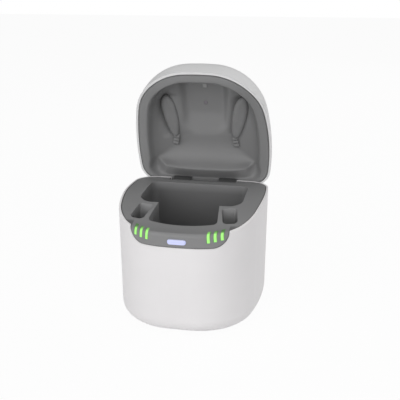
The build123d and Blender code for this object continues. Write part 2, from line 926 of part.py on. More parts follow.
with BuildPart() as main_board:
    with BuildSketch(Plane.XY.offset(board_low)):
        with Locations((0, (board_front + board_rear) / 2)):
            RectangleRounded(2 * board_half, board_rear - board_front, board_round)
        with Locations(*standoffs):
            Circle(board_screw_radius + running_gap, mode=Mode.SUBTRACT)
    extrude(amount=board_thickness)
finish(main_board, "main_board")

with BuildPart() as board_screws:
    head = board_top + seat_gap
    add(round_bars(standoffs, board_head_radius, head, head + board_head_height))
    add(round_bars(standoffs, board_screw_radius, cover_top + 1, head))
finish(board_screws, "board_screws")

with BuildPart() as control_chip:
    with BuildSketch(Plane.XY.offset(board_top + seat_gap)):
        with Locations(chip_place):
            Rectangle(chip_side, chip_side)
    extrude(amount=chip_height)
    chamfer(control_chip.faces().sort_by(Axis.Z)[-1].edges(), chip_edge)
finish(control_chip, "control_chip")

with BuildPart() as choke:
    with BuildSketch(Plane.XY.offset(board_top + seat_gap)):
        with Locations(choke_place):
            RectangleRounded(2 * choke_half, 2 * choke_half, choke_round)
            Circle(choke_bore, mode=Mode.SUBTRACT)
    extrude(amount=choke_height)
finish(choke, "choke")

with BuildPart() as inlet_socket:
    with BuildSketch(Plane.XZ.offset(-socket_mouth)):
        with Locations((0, inlet_level)):
            RectangleRounded(socket_width, socket_height, socket_height / 2 - end_flat)
    extrude(amount=socket_depth)
    with BuildSketch(Plane.XZ.offset(-socket_mouth)):
        with Locations((0, inlet_level)):
            inner_height = socket_height - 2 * socket_wall
            inner_width = socket_width - 2 * socket_wall
            RectangleRounded(inner_width, inner_height, inner_height / 2 - end_flat)
    extrude(amount=socket_depth - 1, mode=Mode.SUBTRACT)
    with BuildSketch(Plane.XZ.offset(-socket_mouth + 1)):
        with Locations((0, inlet_level)):
            Rectangle(tongue_width, tongue_height)
    extrude(amount=socket_depth - 1)
finish(inlet_socket, "inlet_socket")

# ---- Hinge pin and washers ----
with BuildPart() as hinge_pin:
    add(along_hinge(hinge_half, pin_radius))
    chamfer(hinge_pin.edges(), pin_chamfer)
finish(hinge_pin, "hinge_pin")

with BuildPart() as hinge_washers:
    middle = centre_knuckle_half + washer_gap + washer_thickness / 2
    for side in (-1, 1):
        add(along_hinge(washer_thickness / 2, washer_radius, side * middle))
    add(along_hinge(hinge_half, pin_radius + running_gap), mode=Mode.SUBTRACT)
finish(hinge_washers, "hinge_washers")

# ---- Lid: white dome and the liner moulding inside it ----
liner_low = lid_gap + liner_sink
recess_top = rim_height + recess_height
channel_roof = rim_height + channel_top
lid_knuckle_start = centre_knuckle_half + 2 * washer_gap + washer_thickness + knuckle_gap
knuckle_half = (hinge_half - lid_knuckle_start) / 2
knuckle_middle = (hinge_half + lid_knuckle_start) / 2
pads = ((-1, "left"), (1, "right"))
roof = rim_height + dome_height
lamp_place = [(0, lamp_y)]


def peg_place(side):
    """Where the peg of one pad goes through the liner."""
    front = Vector(side * pad_front[0], pad_front[1])
    rear = Vector(side * pad_rear[0], pad_rear[1])
    middle = front + (rear - front) * pad_widest
    return (middle.X, middle.Y)


def tab_block(grow):
    """The magnet's block in the channel's roof, at its front end, grown by grow."""
    half = tab_side / 2 + grow
    middle = channel_front + tab_step + tab_side / 2
    low = channel_roof - tab_proud
    return box_between((-half, half), (middle - half, middle + half), (low, low + tab_thickness + grow))


def channel_space(grow):
    """The deep channel over the chamber's stem, with its ramp down to the rear, grown by grow."""
    low = rim_height + liner_low
    points = (
        (channel_front - grow, low),
        (channel_front - grow, channel_roof + grow),
        (channel_rear, channel_roof + grow),
        (channel_rear + channel_ramp, recess_top + grow),
        (channel_rear + channel_ramp, low),
    )
    with BuildPart() as space:
        add(side_profile(points, channel_half + grow))
        sides = space.edges().filter_by(Axis.Z).group_by(Axis.Y)[0]
        fillet(sides, channel_round + grow)
        bow_middle = channel_rear + channel_ramp - channel_bow
        with BuildSketch(Plane.XY.offset(low)):
            with Locations((0, bow_middle)):
                Circle(channel_bow + grow)
            with Locations((0, channel_front)):
                Rectangle(4 * channel_half, 2 * (bow_middle - channel_front))
        extrude(amount=2 * channel_top, mode=Mode.INTERSECT)
    return space.part


with BuildPart() as lid_cover:
    add(dome(lid_inset, dome_height, dome_power))
    add(dome(lid_inset + lid_wall, dome_height - lid_wall, dome_power), mode=Mode.SUBTRACT)
    add(above_rim(lid_gap), mode=Mode.INTERSECT)
    rear = box_between(
        (-hinge_half - swing_gap, hinge_half + swing_gap),
        (notch_front, far),
        (0, rim_height + neck_rise + swing_gap),
    )
    add(rear, mode=Mode.SUBTRACT)
finish_lid(lid_cover, "lid_cover")

with BuildPart() as ledge:
    ledge_rear = ledge_edge + ledge_lip
    with BuildSketch(Plane.YZ):
        with BuildLine():
            bulge_start = (ledge_start, recess_top)
            bulge = TangentArc(bulge_start, (ledge_edge, rim_height + ledge_low), tangent=(1, 0))
            Polyline(
                bulge @ 1,
                (ledge_rear, rim_height + ledge_low),
                (ledge_rear, recess_top + liner_wall),
                (ledge_start, recess_top + liner_wall),
                bulge @ 0,
            )
        make_face()
    extrude(amount=half_width, both=True)
    with BuildSketch(Plane.XY.offset(rim_height)):
        with Locations((0, ledge_rear - ledge_bow)):
            Circle(ledge_bow)
    extrude(amount=2 * beyond, mode=Mode.INTERSECT)
    half_wall = liner_wall / 2
    middle = dome(band_inset - half_wall, recess_height + half_wall, recess_power)
    add(middle, mode=Mode.INTERSECT)

with BuildPart() as lid_liner:
    add(dome(band_inset - liner_wall, recess_height + liner_wall, recess_power))
    add(channel_space(liner_wall))
    for side, name in pads:
        shell = pad_outline(side, pad_gap + liner_wall)
        add(column(shell, rim_height + liner_low, rim_height + pad_top + liner_wall))
    add(round_bars(lamp_place, lamp_boss, recess_top, channel_roof + liner_wall + lamp_height))
    add(above_rim(liner_low), mode=Mode.INTERSECT)
    add(rim_slab(lid_inset + lid_wall + part_gap, liner_low, liner_low + liner_wall))
    add(dome(band_inset, recess_height, recess_power), mode=Mode.SUBTRACT)
    add(channel_space(0), mode=Mode.SUBTRACT)
    for side, name in pads:
        pocket = pad_outline(side, pad_gap)
        add(column(pocket, rim_height, rim_height + pad_top), mode=Mode.SUBTRACT)
    add(ledge.part)
    for side in (-1, 1):
        middle = side * knuckle_middle
        add(along_hinge(knuckle_half, knuckle_radius, middle))
        across = (middle - knuckle_half, middle + knuckle_half)
        reach = (hinge_y - neck_front, hinge_y + neck_rear)
        add(box_between(across, reach, (hinge_z, rim_height + neck_rise)))
    add(along_hinge(hinge_half, pin_radius + running_gap), mode=Mode.SUBTRACT)
    window_top = channel_roof + window_thickness
    lamp_top = channel_roof + liner_wall + lamp_height
    window_bore = window_radius + running_gap
    add(round_bars(lamp_place, window_bore, channel_roof, window_top), mode=Mode.SUBTRACT)
    add(round_bars(lamp_place, lamp_hole, channel_roof, lamp_top), mode=Mode.SUBTRACT)
    add(round_bars(lamp_place, lamp_bore, channel_roof + liner_wall, lamp_top), mode=Mode.SUBTRACT)
    add(tab_block(running_gap), mode=Mode.SUBTRACT)
    for side, name in pads:
        bore = round_bars([peg_place(side)], peg_radius + running_gap, rim_height, roof)
        add(bore, mode=Mode.SUBTRACT)
finish_lid(lid_liner, "lid_liner")

with BuildPart() as aid_pad_right:
    shoulder = rim_height + pad_low + pad_round
    for share in (1, 0.35, 0):
        with BuildSketch(Plane.XY.offset(shoulder - share * pad_round)):
            add(pad_outline(1, -pad_round * (1 - sqrt(1 - share**2))))
    loft()
    add(column(pad_outline(1, 0), shoulder, rim_height + pad_top - seat_gap))
    with BuildSketch(Plane.XY.offset(rim_height + pad_stem_low)):
        with Locations(Location(pad_rear, pad_turn)):
            with Locations((0, pad_stem_length / 2 - pad_round)):
                RectangleRounded(pad_stem_width, pad_stem_length, pad_stem_width / 3)
    extrude(amount=pad_stem_height)
    with BuildSketch(Plane.XY.offset(rim_height + pad_stem_low - pad_step_height)):
        with Locations(Location(pad_rear, pad_turn)):
            with Locations((0, pad_stem_length / 2 - pad_round)):
                with GridLocations(1, pad_step_pitch, 1, 3):
                    Rectangle(pad_stem_width, pad_step_length)
    extrude(amount=pad_step_height)
    peg_low = rim_height + pad_top - pad_round
    add(round_bars([peg_place(1)], peg_radius, peg_low, peg_low + peg_length + pad_round))

with BuildPart() as aid_pad_left:
    mirror(aid_pad_right.part, about=Plane.YZ)
finish_lid(aid_pad_left, "aid_pad_left")
finish_lid(aid_pad_right, "aid_pad_right")

# ---- Lamp, its window and the magnet in the lid ----
with BuildPart() as lamp_window:
    add(round_bars(lamp_place, window_radius, channel_roof - window_proud, window_top - seat_gap))
    fillet(lamp_window.faces().sort_by(Axis.Z)[0].edges(), window_proud * 0.9)
finish_lid(lamp_window, "lamp_window")

with BuildPart() as lamp_board:
    with BuildSketch(Plane.XY.offset(lamp_top + seat_gap)):
        with Locations(*lamp_place):
            RectangleRounded(lamp_board_side, lamp_board_side, 1)
    extrude(amount=lamp_board_thickness)
finish_lid(lamp_board, "lamp_board")

with BuildPart() as lamp:
    with BuildSketch(Plane.XY.offset(lamp_top - lamp_height)):
        with Locations(*lamp_place):
            Rectangle(lamp_side, lamp_side)
    extrude(amount=lamp_height)
finish_lid(lamp, "lamp")

with BuildPart() as lid_magnet:
    add(tab_block(0))
    chamfer(lid_magnet.faces().sort_by(Axis.Z)[0].edges(), tab_proud / 3)
finish_lid(lid_magnet, "lid_magnet")
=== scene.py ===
"""Dressed model of a hearing aid dryer: pot, tray, lid, lights, button and inner works."""

import logging
import math
from dataclasses import dataclass
from enum import Enum

import bmesh
import bpy
import numpy as np
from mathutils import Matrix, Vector


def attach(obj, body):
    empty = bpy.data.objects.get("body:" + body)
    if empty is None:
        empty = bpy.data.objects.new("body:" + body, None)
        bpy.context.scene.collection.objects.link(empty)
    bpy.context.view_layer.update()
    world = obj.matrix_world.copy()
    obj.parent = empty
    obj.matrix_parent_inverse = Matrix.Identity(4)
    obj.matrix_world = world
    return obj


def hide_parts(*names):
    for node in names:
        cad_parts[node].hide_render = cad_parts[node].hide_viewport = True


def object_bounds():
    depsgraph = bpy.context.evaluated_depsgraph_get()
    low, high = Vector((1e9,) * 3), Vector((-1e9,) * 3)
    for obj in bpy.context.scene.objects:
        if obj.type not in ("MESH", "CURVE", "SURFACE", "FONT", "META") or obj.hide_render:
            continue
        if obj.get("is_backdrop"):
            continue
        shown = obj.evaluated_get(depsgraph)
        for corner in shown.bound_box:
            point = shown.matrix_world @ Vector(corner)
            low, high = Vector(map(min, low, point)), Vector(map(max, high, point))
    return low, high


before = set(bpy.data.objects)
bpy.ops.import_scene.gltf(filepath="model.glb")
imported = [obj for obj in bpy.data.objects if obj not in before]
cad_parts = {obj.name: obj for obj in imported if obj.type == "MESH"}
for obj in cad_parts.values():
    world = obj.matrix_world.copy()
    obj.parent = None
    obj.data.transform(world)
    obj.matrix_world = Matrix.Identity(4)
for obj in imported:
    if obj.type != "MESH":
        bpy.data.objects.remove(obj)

cad_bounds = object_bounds()
log = logging.getLogger("dryer")
MM = 0.001

FINE_DEPTH = 0.004 * MM
EDGE_SOFTNESS = 0.35 * MM

Colour = tuple[float, float, float]
Spot = tuple[float, float, float]
Point = tuple[float, float]
Rows = tuple[list[np.ndarray], int]


def shade(colour: Colour, share: float, lift: float = 0.0) -> Colour:
    """Gives a colour made darker or paler by a share, then lifted by an amount."""
    return tuple(min(1.0, channel * share + lift) for channel in colour)


# ---------------------------------------------------------------- shader maths
class Signal:
    """A socket of a material, on which plain arithmetic adds the nodes that work it out."""

    def __init__(self, shop: "Workshop", socket: bpy.types.NodeSocket) -> None:
        """Wraps a socket.

        Args:
            shop: the material that the socket belongs to.
            socket: the output socket that carries the value.
        """
        self.shop = shop
        self.socket = socket

    def _maths(self, operation: str, *terms: "Signal | float") -> "Signal":
        """Adds one Math node over several terms."""
        inputs = {index: term for index, term in enumerate(terms)}
        return self.shop.node("ShaderNodeMath", {"operation": operation}, inputs)

    def __add__(self, other: "Signal | float") -> "Signal":
        """Adds."""
        return self._maths("ADD", self, other)

    __radd__ = __add__

    def __mul__(self, other: "Signal | float") -> "Signal":
        """Multiplies."""
        return self._maths("MULTIPLY", self, other)

    __rmul__ = __mul__

    def __sub__(self, other: "Signal | float") -> "Signal":
        """Subtracts."""
        return self._maths("SUBTRACT", self, other)

    def __rsub__(self, other: float) -> "Signal":
        """Subtracts from a number."""
        return self._maths("SUBTRACT", other, self)

    def __truediv__(self, other: "Signal | float") -> "Signal":
        """Divides."""
        return self._maths("DIVIDE", self, other)

    def __pow__(self, other: float) -> "Signal":
        """Raises to a power."""
        return self._maths("POWER", self, other)

    def __abs__(self) -> "Signal":
        """Drops the sign."""
        return self._maths("ABSOLUTE", self)

    def __round__(self) -> "Signal":
        """Rounds to the nearest whole number."""
        return self._maths("ROUND", self)

    def clamped(self) -> "Signal":
        """Keeps the value between 0 and 1."""
        return self._maths("MINIMUM", self._maths("MAXIMUM", self, 0.0), 1.0)


class Workshop:
    """One material's node tree, with one way to add each kind of node."""

    def __init__(self, name: str) -> None:
        """Starts an empty material of that name.

        Args:
            name: the material's name.
        """
        self.material = bpy.data.materials.new(name)
        self.material.use_nodes = True
        self.tree = self.material.node_tree
        self.tree.nodes.clear()

    def node(
        self,
        kind: str,
        settings: dict[str, object] | None = None,
        inputs: dict[str | int, object] | None = None,
        output: str | int = 0,
    ) -> Signal:
        """Adds any node.

        Args:
            kind: the node's type name.
            settings: the node's own settings, which are set first.
            inputs: numbers, tuples or signals by socket name or place.
            output: the socket that the result is read from.

        Returns:
            The chosen output as a signal.
        """
        made = self.tree.nodes.new(kind)
        for key, value in (settings or {}).items():
            setattr(made, key, value)
        for key, value in (inputs or {}).items():
            socket = made.inputs[key]
            if isinstance(value, Signal):
                self.tree.links.new(value.socket, socket)
            else:
                socket.default_value = value
        return Signal(self, made.outputs[output])

    def place(self) -> Signal:
        """Gives the point on the piece, in its own metres."""
        return self.node("ShaderNodeTexCoord", output="Object")

    def axes(self) -> tuple[Signal, Signal, Signal]:
        """Gives the point's x, y and z, in the piece's own millimetres.

        Returns:
            Three signals in millimetres.
        """
        parted = self.node("ShaderNodeSeparateXYZ", {}, {"Vector": self.place()})
        sockets = parted.socket.node.outputs
        x, y, z = (Signal(self, sockets[index]) / MM for index in range(3))
        return x, y, z

    def noise(self, scale: float, detail: float = 2.0, rough: float = 0.5) -> Signal:
        """Gives smooth noise from 0 to 1.

        Args:
            scale: waves per metre.
            detail: how many finer octaves are added.
            rough: how strong the finer octaves are.

        Returns:
            The noise as a signal.
        """
        inputs = {"Vector": self.place(), "Scale": scale, "Detail": detail, "Roughness": rough}
        return self.node("ShaderNodeTexNoise", {}, inputs)

    def blend(self, share: Signal, first: object, second: object) -> Signal:
        """Mixes two colours by a share.

        Args:
            share: 0 for the first colour and 1 for the second.
            first: a colour or signal.
            second: a colour or signal.

        Returns:
            The mixed colour.
        """
        first = first if isinstance(first, Signal) else (*first, 1.0)
        second = second if isinstance(second, Signal) else (*second, 1.0)
        inputs = {0: share, 6: first, 7: second}
        return self.node("ShaderNodeMix", {"data_type": "RGBA"}, inputs, output=2)

    def bump(self, height: Signal, depth: float) -> Signal:
        """Turns a height into a normal, over edges that are softened by a hair.

        Args:
            height: the height signal.
            depth: how deep a height of 1 is, in metres.

        Returns:
            The normal.
        """
        soft = self.node("ShaderNodeBevel", {"samples": 6}, {"Radius": EDGE_SOFTNESS})
        inputs = {"Height": height, "Distance": depth, "Normal": soft}
        return self.node("ShaderNodeBump", {}, inputs)

    def surface(self, inputs: dict[str | int, object]) -> bpy.types.Material:
        """Ends the material in one Principled surface and returns it."""
        self.finish(self.node("ShaderNodeBsdfPrincipled", {}, inputs))
        return self.material

    def finish(self, shader: Signal) -> None:
        """Joins a shader to the material's output."""
        end = self.tree.nodes.new("ShaderNodeOutputMaterial")
        self.tree.links.new(shader.socket, end.inputs["Surface"])


# ---------------------------------------------------------------- finishes
@dataclass(frozen=True)
class MouldedPlastic:
    """Injection-moulded plastic: fine spark-eroded grain, faint flow marks, handled sheen."""

    name: str
    colour: Colour
    roughness: float = 0.4
    grain: float = 4200.0
    grain_depth: float = 0.000006
    mottle: float = 0.03
    specular: float = 0.5
    cloud_waves: float = 38.0
    cloud_sheen: float = 0.10
    fine_sheen: float = 0.05

    def tone(self, shop: Workshop, cloud: Signal) -> Signal:
        """Gives the base colour over the surface."""
        pale = shade(self.colour, 1.0 + self.mottle)
        return shop.blend(cloud, shade(self.colour, 1.0 - self.mottle), pale)

    def make(self) -> bpy.types.Material:
        """Builds the material.

        Returns:
            The material.
        """
        shop = Workshop(self.name)
        cloud = shop.noise(self.cloud_waves, 3.0)
        fine = shop.noise(self.grain, 2.0, 0.6)
        rough = self.roughness + (cloud - 0.5) * self.cloud_sheen + (fine - 0.5) * self.fine_sheen
        return shop.surface(
            {
                "Base Color": self.tone(shop, cloud),
                "Roughness": rough.clamped(),
                "Specular IOR Level": self.specular,
                "Normal": shop.bump(fine, self.grain_depth),
            }
        )


@dataclass(frozen=True)
class HingeShadedPlastic(MouldedPlastic):
    """Moulded plastic with painted shade darkening it along the hinge line."""

    hinge: Point = (23.2, 62.6)
    half: float = 26.0
    side_fade: float = 9.0
    near: float = 7.8
    far: float = 10.8
    # how much colour is left in the painted shade near the hinge
    hinge_shade: float = 0.66

    def tone(self, shop: Workshop, cloud: Signal) -> Signal:
        """Gives the base colour over the surface, with painted shade darker near the hinge.

        Args:
            shop: the material being made.
            cloud: the slow noise that mottles the plastic.

        Returns:
            The colour.
        """
        x, y, z = shop.axes()
        away = ((y - self.hinge[0]) ** 2.0 + (z - self.hinge[1]) ** 2.0) ** 0.5
        close = ((self.far - away) / (self.far - self.near)).clamped()
        middle = ((self.half - abs(x)) / self.side_fade).clamped()
        plain = super().tone(shop, cloud)
        # painted shade: darkens the colour in a band round the hinge line, where shade falls
        return shop.blend(close * middle, plain, shade(self.colour, self.hinge_shade))


@dataclass(frozen=True)
class WellPlastic(HingeShadedPlastic):
    """Hinge-shaded plastic with painted shade darkening it down the walls of its wells."""

    top: float = 66.7
    fall: float = 245.0
    front: float = -31.0
    fade: float = 5.0
    # colour share of the painted shade down the wells
    dimmed: float = 0.66
    fascia_half: float = 26.6
    fascia_low: float = 51.5
    fascia_round: float = 8.0
    fascia_top: float = 61.0
    line: float = 0.65
    line_fade: float = 0.3
    # colour share of the painted shadow line along the fascia's edge
    fascia_shade: float = 0.55

    def tone(self, shop: Workshop, cloud: Signal) -> Signal:
        """Gives the base colour over the surface, with painted shade darker below the curved top
        and a painted shadow line along the fascia's edge.

        Args:
            shop: the material being made.
            cloud: the slow noise that mottles the plastic.

        Returns:
            The colour.
        """
        _, y, z = shop.axes()
        level = self.top - ((abs(y) - y) * 0.5) ** 2.0 / self.fall
        # painted shade down the wells, below the curved top line
        deep = ((level - z) / self.fade).clamped() * ((y - self.front) * 2.0).clamped()
        plain = shop.blend(deep, super().tone(shop, cloud), shade(self.colour, self.dimmed))
        # painted shadow line in the gap where the fascia meets the shell
        return shop.blend(self._fascia_edge(shop), plain, shade(self.colour, self.fascia_shade))

    def _fascia_edge(self, shop: Workshop) -> Signal:
        """Marks the thin painted shadow line where the fascia meets the shell, sides and rounded
        corners.

        Args:
            shop: the material being made.

        Returns:
            A signal that is 1 on the line and 0 away from it.
        """
        x, y, z = shop.axes()
        aside = abs(x) - (self.fascia_half - self.fascia_round)
        below = self.fascia_low + self.fascia_round - z
        aside, below = (aside + abs(aside)) * 0.5, (below + abs(below)) * 0.5
        away = (aside ** 2.0 + below ** 2.0) ** 0.5
        line = ((away - self.fascia_round + self.line) / self.line_fade).clamped()
        return line * (self.front - y).clamped() * ((self.fascia_top - z) * 2.0).clamped()


@dataclass(frozen=True)
class SoftRubber:
    """Moulded silicone rubber: matt, slightly dusty and finely pitted."""

    name: str
    colour: Colour
    roughness: float = 0.65

    def make(self) -> bpy.types.Material:
        """Builds the material.

        Returns:
            The material.
        """
        shop = Workshop(self.name)
        dust = shop.noise(160.0, 4.0, 0.6)
        pits = shop.noise(2600.0, 2.0)
        dusty = shade(self.colour, 1.25, 0.01)
        return shop.surface(
            {
                "Base Color": shop.blend(dust ** 2.0, self.colour, dusty),
                "Roughness": (self.roughness + (dust - 0.5) * 0.2).clamped(),
                "Specular IOR Level": 0.35,
                "Normal": shop.bump(pits, 0.00001),
            }
        )


@dataclass(frozen=True)
class LitPlastic:
    """Diffusing plastic with a light behind it, brighter in the middle than at its edges."""

    name: str
    colour: Colour
    glow: Colour
    strength: float = 0.6

    def make(self) -> bpy.types.Material:
        """Builds the material.

        Returns:
            The material.
        """
        shop = Workshop(self.name)
        haze = shop.noise(420.0, 3.0)
        fine = shop.noise(3000.0, 1.0)
        dim = shade(self.glow, 0.88)
        return shop.surface(
            {
                "Base Color": shop.blend(haze, self.colour, shade(self.colour, 0.92)),
                "Roughness": (0.32 + haze * 0.1).clamped(),
                "Emission Color": shop.blend(haze, self.glow, dim),
                "Emission Strength": self.strength,
                "Normal": shop.bump(fine, FINE_DEPTH),
            }
        )


@dataclass(frozen=True)
class LitBar:
    """A clear light guide with a lit green core, deep green along its sides and ends."""

    name: str
    first: float = 16.4
    pitch: float = 3.4
    middle: float = 57.0
    lean: float = 0.07
    half: float = 0.55
    fade: float = 0.3
    crest: float = 59.7
    crest_fade: float = 0.5
    core: Colour = (0.3, 0.78, 0.16)
    deep: Colour = (0.05, 0.13, 0.035)

    def make(self) -> bpy.types.Material:
        """Builds the material.

        Returns:
            The material.
        """
        shop = Workshop(self.name)
        x, _, z = shop.axes()
        place = (abs(x) - self.first + (z - self.middle) * self.lean) / self.pitch
        aside = abs(place - round(place)) * self.pitch
        lit = ((self.half + self.fade - aside) / self.fade).clamped()
        lit = lit * ((self.crest - z) / self.crest_fade).clamped()
        haze = shop.noise(420.0, 3.0)
        glow = shop.blend(lit, self.deep, self.core)
        return shop.surface(
            {
                "Base Color": shop.blend(lit, (0.06, 0.12, 0.05), (0.2, 0.42, 0.12)),
                "Roughness": (0.35 + haze * 0.12).clamped(),
                "Emission Color": glow,
                "Emission Strength": 0.85,
                "Normal": shop.bump(haze, FINE_DEPTH),
            }
        )


@dataclass(frozen=True)
class LitPill:
    """The button's violet cap, evenly lit and a shade deeper in a band along its middle."""

    name: str
    level: float = 54.8
    colour: Colour = (0.5, 0.52, 0.66)
    glow: Colour = (0.3, 0.33, 0.6)
    middle: Colour = (0.25, 0.275, 0.54)
    rim: Colour = (0.02, 0.02, 0.03)
    lit: float = 1.05
    rim_fade: float = 0.3
    band_half: float = 0.7

    def make(self) -> bpy.types.Material:
        """Builds the material.

        Returns:
            The material.
        """
        shop = Workshop(self.name)
        _, _, z = shop.axes()
        haze = shop.noise(500.0, 2.0)
        away = abs(z - self.level)
        band = (1.0 - away / self.band_half).clamped()
        edge = ((away - self.lit) / self.rim_fade).clamped()
        glow = shop.blend(band, self.glow, self.middle)
        return shop.surface(
            {
                "Base Color": shop.blend(haze, self.colour, shade(self.colour, 0.94)),
                "Roughness": (0.34 + haze * 0.1).clamped(),
                "Emission Color": shop.blend(edge, glow, self.rim),
                "Emission Strength": 0.7,
                "Normal": shop.bump(haze, FINE_DEPTH),
            }
        )


@dataclass(frozen=True)
class WorkedMetal:
    """Turned, drawn or plated metal with fine tool lines along one axis."""

    name: str
    colour: Colour
    roughness: float = 0.3
    lines: Spot = (1.0, 1.0, 12.0)

    def make(self) -> bpy.types.Material:
        """Builds the material.

        Returns:
            The material.
        """
        shop = Workshop(self.name)
        stretched = shop.node(
            "ShaderNodeVectorMath", {"operation": "MULTIPLY"}, {0: shop.place(), 1: self.lines}
        )
        lines = shop.node(
            "ShaderNodeTexNoise", {}, {"Vector": stretched, "Scale": 900.0, "Detail": 3.0}
        )
        haze = shop.noise(220.0, 3.0)
        dimmed = shade(self.colour, 0.82)
        return shop.surface(
            {
                "Base Color": shop.blend(haze, dimmed, self.colour),
                "Metallic": 1.0,
                "Roughness": (self.roughness + (lines - 0.5) * 0.25).clamped(),
                "Normal": shop.bump(lines, FINE_DEPTH),
            }
        )


@dataclass(frozen=True)
class CircuitBoard:
    """Solder mask over copper, with faint tracks showing through."""

    name: str
    mask: Colour = (0.012, 0.075, 0.035)
    track: Colour = (0.03, 0.15, 0.06)

    def make(self) -> bpy.types.Material:
        """Builds the material.

        Returns:
            The material.
        """
        shop = Workshop(self.name)
        inputs = {"Vector": shop.place(), "Scale": 320.0, "Randomness": 0.35}
        cells = shop.node("ShaderNodeTexVoronoi", {"feature": "DISTANCE_TO_EDGE"}, inputs)
        tracks = (1.0 - cells * 9.0).clamped()
        return shop.surface(
            {
                "Base Color": shop.blend(tracks, self.mask, self.track),
                "Roughness": (0.36 + tracks * 0.12).clamped(),
                "Normal": shop.bump(tracks, 0.00002),
            }
        )


@dataclass(frozen=True)
class CopperWinding:
    """Enamelled copper wire wound in fine turns."""

    name: str
    colour: Colour = (0.62, 0.24, 0.08)

    def make(self) -> bpy.types.Material:
        """Builds the material.

        Returns:
            The material.
        """
        shop = Workshop(self.name)
        inputs = {"Vector": shop.place(), "Scale": 700.0, "Distortion": 0.4}
        turns = shop.node("ShaderNodeTexWave", {"bands_direction": "Z"}, inputs)
        dark = shade(self.colour, 0.5)
        return shop.surface(
            {
                "Base Color": shop.blend(turns, dark, self.colour),
                "Metallic": 0.9,
                "Roughness": (0.3 + turns * 0.15).clamped(),
                "Normal": shop.bump(turns, 0.00005),
            }
        )


@dataclass(frozen=True)
class ClearWindow:
    """A small clear lens, faintly hazed."""

    name: str
    tint: Colour = (0.42, 0.39, 0.43)

    def make(self) -> bpy.types.Material:
        """Builds the material.

        Returns:
            The material.
        """
        shop = Workshop(self.name)
        haze = shop.noise(900.0, 2.0)
        return shop.surface(
            {
                "Base Color": shop.blend(haze, self.tint, shade(self.tint, 0.95)),
                "Roughness": (0.12 + haze * 0.12).clamped(),
                "Transmission Weight": 0.5,
                "IOR": 1.49,
                "Normal": shop.bump(haze, FINE_DEPTH),
            }
        )


WHITE = (0.838, 0.822, 0.83)
GREY = (0.228, 0.228, 0.23)


class Finish(Enum):
    """Every finish on the dryer, by the part of it that wears it."""

    POT = MouldedPlastic("pot_white", WHITE, 0.42, specular=0.25)
    # painted shade: the lid's dome is the pot's white made darker for the weaker light on it
    DOME = MouldedPlastic("dome_white_painted_shade", (0.775, 0.775, 0.777), 0.4, specular=0.3)
    # painted shade on the tray: down its wells, on the hinge barrel and a shadow line along the
    # fascia's edge
    TRAY = WellPlastic(
        "tray_grey",
        (0.236, 0.236, 0.238),
        0.45,
        grain_depth=0.00001,
        mottle=0.04,
        half=9.0,
        side_fade=0.5,
        near=3.9,
        far=4.6,
    )
    # painted shade on the liner in the strip near the hinge
    LINER = HingeShadedPlastic("liner_grey", GREY, 0.45, grain_depth=0.00001, mottle=0.04)
    BASE = MouldedPlastic("base_white", (0.62, 0.62, 0.62), 0.5, grain_depth=0.00002)
    GRILLE = MouldedPlastic("grille_grey", (0.1, 0.1, 0.102), 0.5, mottle=0.06)
    FAN = MouldedPlastic("fan_black", (0.018, 0.018, 0.02), 0.4)
    HEATER = MouldedPlastic("heater_black", (0.03, 0.028, 0.026), 0.55, mottle=0.1)
    CHIP = MouldedPlastic("chip_black", (0.015, 0.015, 0.016), 0.6, grain_depth=0.00002)
    WASHER = MouldedPlastic("washer_white", (0.75, 0.74, 0.7), 0.4)
    CAP = MouldedPlastic("magnet_cap_grey", (0.36, 0.36, 0.362), 0.4)
    FOOT = SoftRubber("foot_rubber", (0.03, 0.03, 0.031), 0.75)
    PAD = SoftRubber("pad_rubber", (0.2, 0.2, 0.202), 0.5)
    # dark colour for the beads that stand in for the shadow in the seams
    SEAM_SHADOW = SoftRubber("seam_shadow_dark", (0.06, 0.06, 0.062), 0.6)
    BAR = LitBar("bar_green")
    BUTTON = LitPill("button_violet")
    LED = LitPlastic("led_resin", (0.8, 0.85, 0.5), (0.3, 1.0, 0.3), 0.2)
    LAMP = LitPlastic("lamp_resin", (0.8, 0.78, 0.9), (0.5, 0.4, 1.0), 0.05)
    WINDOW = ClearWindow("lamp_window")
    STEEL = WorkedMetal("screw_steel", (0.58, 0.58, 0.6), 0.3)
    PIN = WorkedMetal("pin_steel", (0.6, 0.6, 0.61), 0.25, (0.2, 8.0, 8.0))
    SOCKET = WorkedMetal("socket_steel", (0.6, 0.6, 0.61), 0.35)
    FIN = WorkedMetal("fin_aluminium", (0.8, 0.8, 0.81), 0.35)
    BOARD = CircuitBoard("board_green")
    COIL = CopperWinding("coil_copper")


class Wardrobe:
    """Makes each finish once and puts it on pieces."""

    def __init__(self) -> None:
        """Starts with nothing made."""
        self.made: dict[Finish, bpy.types.Material] = {}

    def dress(self, piece: bpy.types.Object, finish: Finish) -> None:
        """Puts a finish on every slot of a piece.

        Args:
            piece: the mesh object.
            finish: the finish it wears.
        """
        if finish not in self.made:
            self.made[finish] = finish.value.make()
        slots = piece.data.materials
        if not slots:
            slots.append(self.made[finish])
        for index in range(len(slots)):
            slots[index] = self.made[finish]


